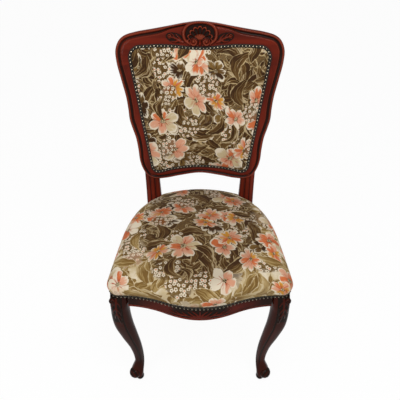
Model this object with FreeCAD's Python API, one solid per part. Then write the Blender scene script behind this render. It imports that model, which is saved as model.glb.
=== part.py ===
"""Upholstered side chair with a carved show-wood frame, modelled piece by piece in millimetres.

The origin is on the floor under the middle of the chair. +X is to the right as seen from the front,
-Y is the front and +Z is up.
"""
import FreeCAD, Part
import math
import os

# Seat plan: a serpentine front, straight sides that curve in to the rear posts
RAIL_FRONT = 278.0            # front rail's nailing face at the middle, ahead of the origin
BOW_DEPTH = 43.0              # how far the middle stands ahead of the front corners
BOW_RADIUS = 250.0            # convex curve in the middle of the front
CORNER_X = 222.0              # where the front's hollow curve ends and the corner starts
CORNER_RADIUS = 18.0
SIDE_TILT = 5.74              # degrees by which the sides close towards the rear
SIDE_STRAIGHT = 168.0
SIDE_RADIUS = 500.0
SIDE_TURN_END = 32.0          # degrees at which the side reaches the rear post
REAR_X = 146.0
REAR_Y = 184.0                # rear rail's nailing face

# Seat frame
RAIL_THICK = 24.0
RAIL_TOP = 428.0
RAIL_BOTTOM = 366.0
STEP_Z = 401.0                # below this the show wood stands proud of the nailing face
STEP_PROUD = 3.5
APRON_LOW = 356.0             # lower edge of the front apron at the middle
APRON_RISE = 9.0              # how much higher the edge is at the legs
APRON_RADIUS = 500.0
SIDE_ARCH = 8.0               # shallow arch under the side rails

# Front legs: S curves seen from the front as (x, z) and from the side as (y, z)
LEG_INNER_X = 198.0
LEG_REAR_Y = -190.0
LEG_OUTER = ((246.0, 401.0), (249.0, 365.0), (247.5, 325.0), (242.0, 275.0), (231.0, 220.0),
             (216.0, 150.0), (207.5, 95.0), (207.0, 60.0), (211.0, 30.0))
LEG_INNER = ((198.0, 401.0), (199.5, 370.0), (202.0, 330.0), (200.0, 275.0), (193.5, 220.0),
             (184.5, 150.0), (181.0, 95.0), (181.5, 60.0), (184.5, 30.0))
LEG_FRONT = ((-241.0, 401.0), (-246.5, 365.0), (-247.5, 325.0), (-244.5, 275.0), (-237.5, 220.0),
             (-228.0, 150.0), (-222.5, 95.0), (-223.0, 60.0), (-228.0, 30.0))
LEG_REAR = ((-190.0, 401.0), (-194.0, 370.0), (-200.0, 330.0), (-204.0, 275.0), (-202.5, 220.0),
            (-199.0, 150.0), (-198.5, 95.0), (-200.0, 60.0), (-203.0, 30.0))
LEG_BEVEL = 9.0               # along the outer front corner
SCROLL_CENTRE = (212.0, -227.0, 36.0)
SCROLL_RADIUS = 16.0
SCROLL_LENGTH = 24.0
PAD_CENTRE = (196.0, -221.0)
PAD_RADIUS = 12.0
PAD_TOP_Z = 24.0
EAR_CENTRE = (238.0, -234.0, 388.0)
EAR_RADIUS = 10.0

# Back, drawn upright and then raked about a line at seat height
RAKE = 11.5
PIVOT_Y = 157.1
PIVOT_Z = 460.0
BACK_THICK = 26.0
BACK_OUTLINE = (              # right half of the moulded back frame, bottom middle to top middle
    (0.0, 541.5), (66.0, 532.5), (114.0, 523.0), (150.0, 521.5), (173.5, 532.0), (189.0, 556.0),
    (197.5, 585.0), (200.5, 620.0), (206.0, 660.0), (215.0, 691.0), (222.5, 720.0),
    (224.5, 750.0), (229.0, 790.0), (240.5, 843.0), (250.5, 892.0), (251.5, 928.0),
    (240.5, 954.0), (223.0, 968.5), (190.0, 978.5), (139.0, 987.0), (90.0, 995.5),
    (45.0, 1003.5), (0.0, 1008.0),
)
BACK_FRONT_BEVEL = 5.0
GROOVE_INSET = 12.0
GROOVE_WIDTH = 4.0
GROOVE_DEPTH = 2.5
ARC_TOLERANCE = 0.9           # how closely arcs follow the drawn outline
CREST_JOINT_H = 880.0
LOWER_RAIL_HALF = 136.0
LOWER_RAIL_TOP_H = 600.0

# Carved shell on the crest
SHELL_CENTRE_H = 960.0
SHELL_LOBES = 7
SHELL_LOBE_STEP = 27.0        # degrees between lobes
SHELL_INNER = 9.0
SHELL_OUTER = 34.0
SHELL_ROOT_RADIUS = 4.0
SHELL_TIP_RADIUS = 8.5
SHELL_SUNK = 3.0              # how deep the lobes' middles lie in the crest
VOLUTE_X = 17.0
VOLUTE_H = 953.0
VOLUTE_RADIUS = 9.0
VOLUTE_PROUD = 6.0

# Nail line round the back panel, right half, as lines and arcs from bottom middle to top middle
PANEL_RUNS = (
    ((0.0, 568.0), (66.0, 563.2), (130.0, 548.8)),
    ((130.0, 548.8), (149.0, 552.8), (157.0, 572.0)),
    ((157.0, 572.0), (207.5, 897.0)),
    ((207.5, 897.0), (201.0, 926.0), (170.0, 937.5)),
    ((170.0, 937.5), (117.0, 939.8), (60.0, 937.0)),
    ((60.0, 937.0), (30.0, 933.8), (0.0, 932.7)),
)
PANEL_MIDDLE_H = 745.0
PANEL_EDGE = 6.0              # cloth edge and rebate, outside the nail line
PANEL_OPENING = 9.0           # frame opening, inside the nail line
REBATE_FRONT = 2.2
REBATE_REAR = 4.0

# Rear posts below the moulded frame
POST_SETBACK = 4.0
POST_BEVEL = 6.0
POST_OUTER = ((184.0, 560.0), (182.0, 500.0), (180.0, 380.0), (176.0, 200.0), (172.0, 0.0))
POST_INNER = ((137.0, 560.0), (135.5, 500.0), (132.5, 440.0), (134.5, 300.0), (141.0, 0.0))
POST_FRONT_CURVE = ((142.1, 366.0), (142.5, 300.0), (155.0, 220.0), (192.0, 110.0), (241.0, 0.0))
POST_REAR_CURVE = ((201.0, 546.0), (192.0, 440.0), (188.5, 340.0), (198.0, 220.0),
                   (231.0, 110.0), (276.0, 0.0))

# Upholstery
CLOTH = 2.0
CUSHION_SIDE = (              # (height, overhang past the nailing face) up the bulging side
    (404.0, 2.0), (421.0, 10.5), (442.0, 13.8), (463.0, 4.0), (482.0, -15.0), (510.0, -15.5),
)
CUSHION_TOP_Z = 500.0
CROWN_MIDDLE_Y = -60.0
CROWN_RADIUS = 1000.0
CUSHION_REAR_SHARE = 0.4      # the rear edge bulges less than the sides
PLAN_MIDDLE_Y = -40.0
POST_GAP = 0.6
STRAP_THICK = 1.5
STRAP_WIDTH = 50.0
SEAT_STRAPS_ALONG = (-130.0, -65.0, 0.0, 65.0, 130.0)
SEAT_STRAPS_ACROSS = (-165.0, -90.0, -15.0, 60.0)
BURLAP_THICK = 1.0
BURLAP_INSET = -6.0
LINING_Z = 382.0
LINING_THICK = 1.0
PAD_INSET = 8.0               # the pad's foot inside the nail line
PAD_BEVEL = 13.0
PAD_CROWN = 18.5              # how far the back pad stands ahead of the frame's face
PAD_CROWN_RADIUS = 2400.0
BACK_STRAP_HEIGHTS = (600.0, 670.0, 740.0, 810.0, 880.0)

# Glue blocks, and the mortise and tenon joints
BLOCK_BOTTOM = 384.0
BLOCK_TOP = 420.0
FRONT_BLOCK = ((135.0, -200.0), (205.0, -120.0), (260.0, -120.0), (260.0, -300.0), (135.0, -300.0))
REAR_BLOCK = ((85.0, 170.0), (85.0, 160.0), (182.0, 65.0), (230.0, 65.0), (230.0, 170.0))
TENON_THICK = 10.0
TENON_LENGTH = 15.0
TENON_ROOT = 5.0              # how deep a tenon starts inside the piece that carries it
TENON_LOW = 384.0
TENON_HIGH = 418.0
FRONT_TENON_Y = -224.0
SIDE_TENON_X = 225.0
POST_TENON_X = 149.0
REAR_TENON_Y = 174.0
BACK_TENON_DEPTH = 13.0
CREST_TENON_X = (214.0, 238.0)
LOWER_TENON_H = (530.0, 551.0)
MORTISE_GAP = 0.1

V = FreeCAD.Vector
PIVOT = V(0, PIVOT_Y, PIVOT_Z)


def line(start, end):
    return Part.LineSegment(start, end).toShape()


def arc(start, middle, end):
    return Part.Arc(start, middle, end).toShape()


def spline(points):
    curve = Part.BSplineCurve()
    curve.interpolate(points)
    return curve.toShape()


def polar(centre, radius, degrees):
    angle = math.radians(degrees)
    return (centre[0] + radius * math.cos(angle), centre[1] + radius * math.sin(angle))


def mirrored_runs(runs):
    """The other half of an outline, so that both halves make one path."""
    return [tuple((-x, y) for x, y in reversed(run)) for run in reversed(runs)]


def reversed_runs(runs):
    return [tuple(reversed(run)) for run in reversed(runs)]


def run_edges(runs, place):
    """Edges for runs of two points (lines) and three points (arcs); place turns a pair into a vector."""
    edges = []
    for run in runs:
        points = [place(*point) for point in run]
        edges.append(arc(*points) if len(points) == 3 else line(*points))
    return edges


def mirror_x(shape):
    return shape.mirror(V(0, 0, 0), V(1, 0, 0))


def rake(shape):
    """Lean an upright back piece to its place."""
    turned = shape.copy()
    turned.rotate(PIVOT, V(1, 0, 0), -RAKE)
    return turned


def unrake(shape):
    """The same turn back, for cuts that are drawn on the upright back."""
    turned = shape.copy()
    turned.rotate(PIVOT, V(1, 0, 0), RAKE)
    return turned


def block(low, high):
    size = [b - a for a, b in zip(low, high)]
    return Part.makeBox(size[0], size[1], size[2], V(*low))


def fuse_all(shapes):
    return shapes[0].multiFuse(shapes[1:]).removeSplitter()


def piece_at(shape, point):
    """The solid of a cut shape that lies nearest to a point."""
    return min(shape.Solids, key=lambda solid: solid.CenterOfMass.distanceToPoint(point))


def s_curve(half_width, rise, radius):
    """Radius of the second arc and the turn, in degrees, of two tangent arcs that end level."""
    drop = radius - rise
    second = (half_width ** 2 + drop ** 2 - radius ** 2) / (2 * rise)
    return second, math.degrees(math.asin(half_width / (radius + second)))


def seat_runs(offset):
    """Right half of the seat plan, front middle to rear corner, offset outwards."""
    hollow_radius, turn = s_curve(CORNER_X, BOW_DEPTH, BOW_RADIUS)
    bow = (0.0, BOW_RADIUS - RAIL_FRONT)
    hollow = polar(bow, BOW_RADIUS + hollow_radius, turn - 90)
    corner = (CORNER_X, BOW_DEPTH - RAIL_FRONT + CORNER_RADIUS)
    bow_r = BOW_RADIUS + offset
    hollow_r = hollow_radius - offset
    corner_r = CORNER_RADIUS + offset
    side_start = polar(corner, CORNER_RADIUS, SIDE_TILT)
    straight_end = polar(side_start, SIDE_STRAIGHT, 90 + SIDE_TILT)
    side = polar(straight_end, -SIDE_RADIUS, SIDE_TILT)
    side_r = SIDE_RADIUS + offset
    rear_corner = (REAR_X, REAR_Y + CUSHION_REAR_SHARE * offset)
    return [
        tuple(polar(bow, bow_r, a) for a in (-90, turn / 2 - 90, turn - 90)),
        tuple(polar(hollow, hollow_r, a) for a in (90 + turn, 90 + turn / 2, 90)),
        tuple(polar(corner, corner_r, a) for a in (-90, (SIDE_TILT - 90) / 2, SIDE_TILT)),
        (polar(corner, corner_r, SIDE_TILT), polar(side, side_r, SIDE_TILT)),
        tuple(polar(side, side_r, a) for a in (SIDE_TILT, (SIDE_TILT + SIDE_TURN_END) / 2, SIDE_TURN_END)),
        (polar(side, side_r, SIDE_TURN_END), rear_corner),
    ]


def seat_wire(offset, z):
    """Closed seat plan at one height, offset outwards."""
    def place(x, y):
        return V(x, y, z)
    right = seat_runs(offset)
    rear = (right[-1][-1], (-right[-1][-1][0], right[-1][-1][1]))
    return Part.Wire(run_edges(right + [rear] + mirrored_runs(right), place))


def seat_prism(offset, low, high):
    return Part.Face(seat_wire(offset, low)).extrude(V(0, 0, high - low))


def strip(outer, inner, low, high):
    """Upright bar between two plan paths that run the same way."""
    def place(x, y):
        return V(x, y, low)
    edges = run_edges(outer, place)
    edges.append(line(place(*outer[-1][-1]), place(*inner[-1][-1])))
    edges += run_edges(reversed_runs(inner), place)
    edges.append(line(place(*inner[0][0]), place(*outer[0][0])))
    return Part.Face(Part.Wire(edges)).extrude(V(0, 0, high - low))


def stepped_rail(runs_at):
    """A rail with a nailing face above and proud show wood below; runs_at gives the path at an offset."""
    inner = runs_at(-RAIL_THICK)
    upper = strip(runs_at(0.0), inner, STEP_Z, RAIL_TOP)
    lower = strip(runs_at(STEP_PROUD), inner, APRON_LOW, STEP_Z)
    return upper.fuse(lower).removeSplitter()


def post_notch(setback):
    """Room for the right rear post, from its raked front face backwards."""
    low = (min(x for x, z in POST_INNER) - POST_GAP, PIVOT_Y + setback, 300.0)
    return rake(block(low, (300.0, PIVOT_Y + 120.0, 560.0)))


def front_rail():
    def whole_front(offset):
        right = seat_runs(offset)[:2]
        return mirrored_runs(right) + right
    rail = stepped_rail(whole_front)
    rail = rail.common(block((-LEG_INNER_X, -400, 0), (LEG_INNER_X, 0, 500)))
    second, turn = s_curve(LEG_INNER_X, APRON_RISE, APRON_RADIUS)
    centre = (0.0, APRON_LOW + APRON_RADIUS)
    hollow = polar(centre, APRON_RADIUS + second, turn - 90)
    right = [
        tuple(polar(centre, APRON_RADIUS, a) for a in (-90, turn / 2 - 90, turn - 90)),
        tuple(polar(hollow, second, a) for a in (90 + turn, 90 + turn / 2, 90)),
    ]

    def place(x, z):
        return V(x, -400.0, z)
    edges = run_edges(mirrored_runs(right) + right, place)
    floor_z = APRON_LOW - 50.0
    end_z = right[-1][-1][1]
    edges.append(line(place(LEG_INNER_X, end_z), place(LEG_INNER_X, floor_z)))
    edges.append(line(place(LEG_INNER_X, floor_z), place(-LEG_INNER_X, floor_z)))
    edges.append(line(place(-LEG_INNER_X, floor_z), place(-LEG_INNER_X, end_z)))
    below = Part.Face(Part.Wire(edges)).extrude(V(0, 400, 0))
    return rail.cut(below)


def right_side_rail():
    def side(offset):
        return seat_runs(offset)[3:5]
    rail = stepped_rail(side)
    rail = rail.cut(block((0, -400, 0), (400, LEG_REAR_Y, 500)))
    rail = rail.cut(post_notch(POST_SETBACK))
    rail = piece_at(rail, V(CORNER_X, PLAN_MIDDLE_Y, RAIL_TOP))
    span = rail.BoundBox.YLength
    arch_radius = (span ** 2 / 4 + SIDE_ARCH ** 2) / (2 * SIDE_ARCH)
    middle_y = rail.BoundBox.YMin + span / 2
    arch_top = RAIL_BOTTOM + SIDE_ARCH
    arch = Part.makeCylinder(arch_radius, 400, V(0, middle_y, arch_top - arch_radius), V(1, 0, 0))
    below = block((0, -400, 0), (400, 400, RAIL_BOTTOM))
    return piece_at(rail.cut(below).cut(arch), V(CORNER_X, PLAN_MIDDLE_Y, RAIL_TOP))


def rear_rail():
    half = POST_INNER[2][0]
    return block((-half - 5, REAR_Y - RAIL_THICK, RAIL_BOTTOM), (half + 5, REAR_Y, RAIL_TOP))


def sawn(front_outline, side_outline):
    """Solid sawn from one board along a front outline of (x, z) edges and a side outline of (y, z) edges."""
    front_view = Part.Face(Part.Wire(front_outline)).extrude(V(0, 1000, 0))
    side_view = Part.Face(Part.Wire(side_outline)).extrude(V(1000, 0, 0))
    return front_view.common(side_view)


def between_curves(first, second, place):
    """Closed outline between two curves that both run downwards."""
    down = [place(*point) for point in first]
    back = [place(*point) for point in second]
    return [spline(down), line(down[-1], back[-1]), spline(back[::-1]), line(back[0], down[0])]


def in_front_view(x, z):
    return V(x, -500.0, z)


def in_side_view(y, z):
    return V(0.0, y, z)


def right_front_leg():
    cabriole = sawn(between_curves(LEG_OUTER, LEG_INNER, in_front_view),
                    between_curves(LEG_FRONT, LEG_REAR, in_side_view))
    middle_z = (LEG_OUTER[0][1] + LEG_OUTER[-1][1]) / 2
    arris = max((edge for edge in cabriole.Edges if edge.BoundBox.ZLength > middle_z),
                key=lambda edge: edge.BoundBox.XMax - edge.BoundBox.YMin)
    cabriole = cabriole.makeChamfer(LEG_BEVEL, [arris])
    corner = block((LEG_INNER_X, -400, STEP_Z), (400, LEG_REAR_Y, RAIL_TOP))
    top = corner.common(seat_prism(0.0, STEP_Z, RAIL_TOP))
    along = V(1, 1, 0).normalize()
    centre = V(*SCROLL_CENTRE)
    scroll = Part.makeCylinder(SCROLL_RADIUS, SCROLL_LENGTH, centre - along * (SCROLL_LENGTH / 2), along)
    pad = Part.makeCylinder(PAD_RADIUS, PAD_TOP_Z, V(*PAD_CENTRE, 0))
    ear = Part.makeSphere(EAR_RADIUS, V(*EAR_CENTRE))
    return fuse_all([cabriole, top, scroll, pad, ear])


def back_wire(inset):
    """The moulded frame's outline as tangent arcs, moved inwards."""
    right = [V(x, PIVOT_Y, h) for x, h in BACK_OUTLINE]
    left = [V(-p.x, p.y, p.z) for p in reversed(right[1:-1])]
    curve = Part.BSplineCurve()
    curve.interpolate(right + left, PeriodicFlag=True)
    wire = Part.Wire([piece.toShape() for piece in curve.toBiArcs(ARC_TOLERANCE)])
    return wire.makeOffset2D(-inset) if inset else wire


def back_plate(inset, start, end):
    """Plate inside the frame's outline between two depths behind the front face."""
    plate = Part.Face(back_wire(inset)).extrude(V(0, end - start, 0))
    plate.translate(V(0, start, 0))
    return plate


def panel_wire(depth, grow):
    """The back panel's nail line at one depth, grown outwards."""
    def place(x, h):
        return V(x, PIVOT_Y + depth, h)
    runs = list(PANEL_RUNS)
    return Part.Wire(run_edges(runs + mirrored_runs(runs), place)).makeOffset2D(grow)


def panel_plate(grow, start, end):
    return Part.Face(panel_wire(start, grow)).extrude(V(0, end - start, 0))


def moulded_ring():
    """The whole moulded back frame, still upright and in one piece."""
    ring = back_plate(0.0, 0.0, BACK_THICK)
    rim = [e for e in ring.Edges if abs(e.BoundBox.YMax - PIVOT_Y) < 0.01]
    ring = ring.makeChamfer(BACK_FRONT_BEVEL, rim)
    groove = back_plate(GROOVE_INSET, -1.0, GROOVE_DEPTH)
    island = back_plate(GROOVE_INSET + GROOVE_WIDTH, -2.0, GROOVE_DEPTH + 1.0)
    ring = ring.cut(groove.cut(island))
    return panel_seat(ring)


def panel_seat(shape):
    """Cut the panel's opening and the rebates round it, front and rear."""
    shape = shape.cut(panel_plate(-PANEL_OPENING, -10.0, BACK_THICK + 10.0))
    shape = shape.cut(panel_plate(PANEL_EDGE, -10.0, REBATE_FRONT))
    return shape.cut(panel_plate(PANEL_EDGE, BACK_THICK - REBATE_REAR, BACK_THICK + 10.0))


def crest_shell():
    """Fan shell with two volutes, to be fused to the crest."""
    parts = []
    face_y = PIVOT_Y + SHELL_SUNK
    centre = (0.0, SHELL_CENTRE_H)
    first = 90 - SHELL_LOBE_STEP * (SHELL_LOBES - 1) / 2
    for index in range(SHELL_LOBES):
        angle = first + SHELL_LOBE_STEP * index
        root = polar(centre, SHELL_INNER, angle)
        tip = polar(centre, SHELL_OUTER, angle)
        start = V(root[0], face_y, root[1])
        end = V(tip[0], face_y, tip[1])
        length = SHELL_OUTER - SHELL_INNER
        parts.append(Part.makeCone(SHELL_ROOT_RADIUS, SHELL_TIP_RADIUS, length, start, end - start))
    for side in (-1, 1):
        base = V(side * VOLUTE_X, PIVOT_Y - VOLUTE_PROUD, VOLUTE_H)
        volute = Part.makeCylinder(VOLUTE_RADIUS, VOLUTE_PROUD + 4.0, base, V(0, 1, 0))
        parts.append(volute)
    shell = parts[0].multiFuse(parts[1:])
    top_h = BACK_OUTLINE[-1][1]
    return shell.common(block((-200, 0, 0), (200, PIVOT_Y + BACK_THICK / 2, top_h)))


def right_post_column():
    """Rear leg and lower post: a front outline and a side outline sawn from one board."""
    top_z = POST_OUTER[0][1]
    face_slope = math.tan(math.radians(RAKE))
    setback_y = POST_SETBACK / math.cos(math.radians(RAKE))
    front_top = in_side_view(PIVOT_Y + (top_z - PIVOT_Z) * face_slope + setback_y, top_z)
    front_low = [in_side_view(*point) for point in POST_FRONT_CURVE]
    rear = [in_side_view(*point) for point in POST_REAR_CURVE]
    rear_top = in_side_view(rear[0].y + (top_z - rear[0].z) * face_slope, top_z)
    column = sawn(between_curves(POST_OUTER, POST_INNER, in_front_view), [
        line(front_top, front_low[0]), spline(front_low), line(front_low[-1], rear[-1]),
        spline(rear[::-1]), line(rear[0], rear_top), line(rear_top, front_top),
    ])
    uprights = [edge for edge in column.Edges if edge.BoundBox.ZLength > 100]
    return column.makeChamfer(POST_BEVEL, uprights)


def cushion(shrink):
    """The stuffed seat as a closed form with bulging sides; the filling is shrunk by the cloth it lies under."""
    stations = CUSHION_SIDE[::2] + CUSHION_SIDE[-1:] if shrink else CUSHION_SIDE
    wires = [seat_wire(overhang - shrink, z - shrink) for z, overhang in stations]
    sides = Part.makeLoft(wires, True, True)
    crown_centre = V(0, CROWN_MIDDLE_Y, CUSHION_TOP_Z - shrink - CROWN_RADIUS)
    return sides.common(Part.makeSphere(CROWN_RADIUS, crown_centre, V(1, 0, 0)))


def pad_form(shrink, rear):
    """The back pad with its crowned front, down to a depth inside the frame."""
    plate = panel_plate(-PAD_INSET - shrink, shrink - PAD_CROWN, rear)
    rim = [e for e in plate.Edges if abs(e.BoundBox.YMax - PIVOT_Y + PAD_CROWN - shrink) < 0.01]
    plate = plate.makeChamfer(PAD_BEVEL, rim)
    crown_y = PIVOT_Y - PAD_CROWN + shrink + PAD_CROWN_RADIUS
    crown_centre = V(0, crown_y, PANEL_MIDDLE_H)
    return plate.common(Part.makeSphere(PAD_CROWN_RADIUS, crown_centre))


def seat_pieces():
    notch = post_notch(POST_SETBACK - POST_GAP)
    notches = notch.fuse(mirror_x(notch))
    inner = cushion(CLOTH)
    cover = cushion(0.0).cut(inner).cut(notches)
    lower_top = RAIL_TOP + STRAP_THICK
    straps_top = lower_top + STRAP_THICK
    burlap_top = straps_top + BURLAP_THICK
    frame_room = seat_prism(MORTISE_GAP, STEP_Z - 10.0, burlap_top)
    floor_z = CUSHION_SIDE[0][0]
    below = block((-400, -400, floor_z - 50.0), (400, 400, floor_z))
    filling = inner.cut(below).cut(frame_room).cut(notches)
    burlap = seat_prism(BURLAP_INSET, straps_top, burlap_top).cut(notches)
    bounds = seat_prism(BURLAP_INSET, RAIL_TOP, straps_top).cut(notches)
    along = [block((x - STRAP_WIDTH / 2, -400, RAIL_TOP), (x + STRAP_WIDTH / 2, 400, lower_top))
             for x in SEAT_STRAPS_ALONG]
    across = [block((-400, y - STRAP_WIDTH / 2, lower_top), (400, y + STRAP_WIDTH / 2, straps_top))
              for y in SEAT_STRAPS_ACROSS]
    return {
        "seat_cover": cover,
        "seat_filling": filling,
        "seat_burlap": burlap,
        "seat_webbing_lengthwise": Part.makeCompound([strap.common(bounds) for strap in along]),
        "seat_webbing_crosswise": Part.makeCompound([strap.common(bounds) for strap in across]),
    }


def back_pieces():
    edge = PANEL_EDGE - 0.5
    well_floor = BACK_THICK - REBATE_REAR
    filling = pad_form(CLOTH, well_floor - 0.1)
    flange = panel_plate(edge, REBATE_FRONT - CLOTH, REBATE_FRONT)
    cover = flange.fuse(pad_form(0.0, REBATE_FRONT - CLOTH / 2)).cut(filling).removeSplitter()
    straps = []
    reach = panel_plate(PANEL_EDGE - 2.0, well_floor, well_floor + STRAP_THICK)
    for h in BACK_STRAP_HEIGHTS:
        strap = block((-400, 0, h - STRAP_WIDTH / 2), (400, 400, h + STRAP_WIDTH / 2))
        straps.append(strap.common(reach))
    rear = panel_plate(edge, BACK_THICK - CLOTH - 0.2, BACK_THICK - 0.2)
    return {
        "back_filling": rake(filling),
        "back_front_cover": rake(cover),
        "back_webbing": rake(Part.makeCompound(straps)),
        "back_rear_cover": rake(rear),
    }


def tenon(low, high, grow):
    """A tenon as a box, or its mortise when grown."""
    return block([value - grow for value in low], [value + grow for value in high])


def right_tenons(grow=0.0):
    """Tenons of the right half: (piece that carries it, piece that it enters, solid)."""
    half = TENON_THICK / 2
    post_y = PIVOT_Y + POST_SETBACK
    depth_y = PIVOT_Y + BACK_TENON_DEPTH
    inner_x = POST_INNER[2][0]
    front = tenon((LEG_INNER_X - TENON_ROOT, FRONT_TENON_Y - half, TENON_LOW),
                  (LEG_INNER_X + TENON_LENGTH, FRONT_TENON_Y + half, TENON_HIGH), grow)
    side = tenon((SIDE_TENON_X - half, LEG_REAR_Y - TENON_LENGTH, TENON_LOW),
                 (SIDE_TENON_X + half, LEG_REAR_Y + TENON_ROOT, TENON_HIGH), grow)
    side_rear = tenon((POST_TENON_X - half, post_y - TENON_ROOT, TENON_LOW),
                      (POST_TENON_X + half, post_y + TENON_LENGTH, TENON_HIGH), grow)
    rear = tenon((inner_x - TENON_ROOT, REAR_TENON_Y - half, TENON_LOW),
                 (inner_x + TENON_LENGTH, REAR_TENON_Y + half, TENON_HIGH), grow)
    crest = tenon((CREST_TENON_X[0], depth_y - half, CREST_JOINT_H - TENON_ROOT),
                  (CREST_TENON_X[1], depth_y + half, CREST_JOINT_H + TENON_LENGTH), grow)
    lower = tenon((LOWER_RAIL_HALF - TENON_ROOT, depth_y - half, LOWER_TENON_H[0]),
                  (LOWER_RAIL_HALF + TENON_LENGTH, depth_y + half, LOWER_TENON_H[1]), grow)
    return [
        ("front_rail", "right_front_leg", front),
        ("right_side_rail", "right_front_leg", side),
        ("right_side_rail", "right_back_post", rake(side_rear)),
        ("rear_rail", "right_back_post", rear),
        ("right_back_post", "crest_rail", rake(crest)),
        ("lower_back_rail", "right_back_post", rake(lower)),
    ]


def join(nodes):
    """Cut the mortises, then add the tenons, on both sides of the chair."""
    def other(name):
        return name.replace("right", "left")
    for _, host, hole in right_tenons(MORTISE_GAP):
        nodes[host] = nodes[host].cut(hole)
        nodes[other(host)] = nodes[other(host)].cut(mirror_x(hole))
    for carrier, _, peg in right_tenons():
        nodes[carrier] = nodes[carrier].fuse(peg).removeSplitter()
        nodes[other(carrier)] = nodes[other(carrier)].fuse(mirror_x(peg)).removeSplitter()


def glue_block(plan, rooms):
    """A block that fits the inside of the rails at a corner and leaves room for the leg and rear rail."""
    points = [V(x, y, BLOCK_BOTTOM) for x, y in plan]
    body = Part.Face(Part.makePolygon(points + points[:1])).extrude(V(0, 0, BLOCK_TOP - BLOCK_BOTTOM))
    body = body.common(seat_prism(-RAIL_THICK - MORTISE_GAP, BLOCK_BOTTOM, BLOCK_TOP))
    for room in rooms:
        body = body.cut(room)
    return piece_at(body, V(0, PLAN_MIDDLE_Y, BLOCK_TOP))


def main():
    os.makedirs("parts", exist_ok=True)
    nodes = {}
    ring = moulded_ring()
    crest_room = block((-400, 0, CREST_JOINT_H), (400, 400, 1100))
    lower_rail_room = block((-LOWER_RAIL_HALF, 0, 400), (LOWER_RAIL_HALF, 400, LOWER_RAIL_TOP_H))
    crest = ring.common(crest_room).fuse(crest_shell()).removeSplitter()
    sides = ring.cut(crest_room).cut(lower_rail_room)
    right_side = piece_at(sides, V(200, PIVOT_Y, 700))
    upright_column = unrake(right_post_column())
    post = rake(right_side.fuse(panel_seat(upright_column)).removeSplitter())
    nodes["crest_rail"] = rake(crest)
    nodes["lower_back_rail"] = rake(ring.common(lower_rail_room))
    nodes["right_back_post"] = post
    nodes["left_back_post"] = mirror_x(post)
    leg = right_front_leg()
    side = right_side_rail()
    nodes["right_front_leg"] = leg
    nodes["left_front_leg"] = mirror_x(leg)
    nodes["right_side_rail"] = side
    nodes["left_side_rail"] = mirror_x(side)
    nodes["front_rail"] = front_rail()
    nodes["rear_rail"] = rear_rail().cut(post).cut(mirror_x(post))
    leg_room = block((LEG_INNER_X - MORTISE_GAP, -400, 0), (400, LEG_REAR_Y + MORTISE_GAP, 500))
    rear_rail_room = block((-400, REAR_Y - RAIL_THICK - MORTISE_GAP, 0), (400, 400, 500))
    front_block = glue_block(FRONT_BLOCK, [leg_room])
    rear_block = glue_block(REAR_BLOCK, [rear_rail_room, post_notch(POST_SETBACK - MORTISE_GAP)])
    nodes["right_front_glue_block"] = front_block
    nodes["left_front_glue_block"] = mirror_x(front_block)
    nodes["right_rear_glue_block"] = rear_block
    nodes["left_rear_glue_block"] = mirror_x(rear_block)
    lining = seat_prism(-BURLAP_THICK, LINING_Z, LINING_Z + LINING_THICK)
    for name in [name for name in nodes if name.endswith(("_rail", "_leg", "_post"))]:
        lining = lining.cut(nodes[name])
    nodes["seat_lining"] = piece_at(lining, V(0, PLAN_MIDDLE_Y, LINING_Z))
    join(nodes)
    nodes.update(seat_pieces())
    nodes.update(back_pieces())
    for name, shape in nodes.items():
        shape.exportStep("parts/%s.step" % name)
        box = shape.optimalBoundingBox(False)
        print("%-26s solids %2d valid %s volume %9.0f  x %.1f %.1f y %.1f %.1f z %.1f %.1f" % (
            name, len(shape.Solids), shape.isValid(), shape.Volume,
            box.XMin, box.XMax, box.YMin, box.YMax, box.ZMin, box.ZMax))


if __name__ == "__main__":
    main()
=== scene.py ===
"""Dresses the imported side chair: moulded and carved wood, printed upholstery, nails and a plain studio."""

import math

import bmesh
import bpy
from bpy.props import FloatProperty, FloatVectorProperty, IntProperty, PointerProperty
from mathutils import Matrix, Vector


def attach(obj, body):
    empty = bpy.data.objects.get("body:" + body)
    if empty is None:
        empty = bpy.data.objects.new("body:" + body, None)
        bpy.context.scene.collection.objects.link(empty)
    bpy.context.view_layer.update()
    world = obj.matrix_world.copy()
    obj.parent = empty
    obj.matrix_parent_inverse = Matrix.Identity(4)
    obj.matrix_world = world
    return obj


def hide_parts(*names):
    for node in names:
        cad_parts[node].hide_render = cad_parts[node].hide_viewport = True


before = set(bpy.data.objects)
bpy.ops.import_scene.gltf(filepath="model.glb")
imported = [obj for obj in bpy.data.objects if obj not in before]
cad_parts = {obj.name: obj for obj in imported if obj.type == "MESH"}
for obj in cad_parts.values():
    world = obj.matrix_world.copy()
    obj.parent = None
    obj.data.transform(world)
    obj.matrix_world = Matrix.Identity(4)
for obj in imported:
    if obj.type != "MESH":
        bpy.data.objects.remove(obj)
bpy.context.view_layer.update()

bl_info = {
    "name": "Carved side chair",
    "version": (1, 0, 0),
    "blender": (4, 5, 0),
    "location": "3D View > Sidebar > Chair",
    "description": "Builds the looks of a carved and upholstered side chair around its packed frame",
    "category": "Object",
}

MM = 0.001

# Seat plan, in millimetres
RAIL_FRONT, BOW_DEPTH, BOW_RADIUS = 278.0, 43.0, 250.0
CORNER_X, CORNER_RADIUS = 222.0, 18.0
SIDE_TILT, SIDE_STRAIGHT, SIDE_RADIUS, SIDE_TURN_END = 5.74, 168.0, 500.0, 32.0
REAR_X, REAR_Y, REAR_SHARE = 146.0, 184.0, 0.4
RUN_COUNTS = (16, 10, 9, 24, 14, 5)
REAR_COUNT = 36
APRON_POINTS, APRON_SPLIT, APRON_ROWS = 28, 8, 22
PLAN_MIDDLE = Vector((0.0, -40.0))

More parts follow.
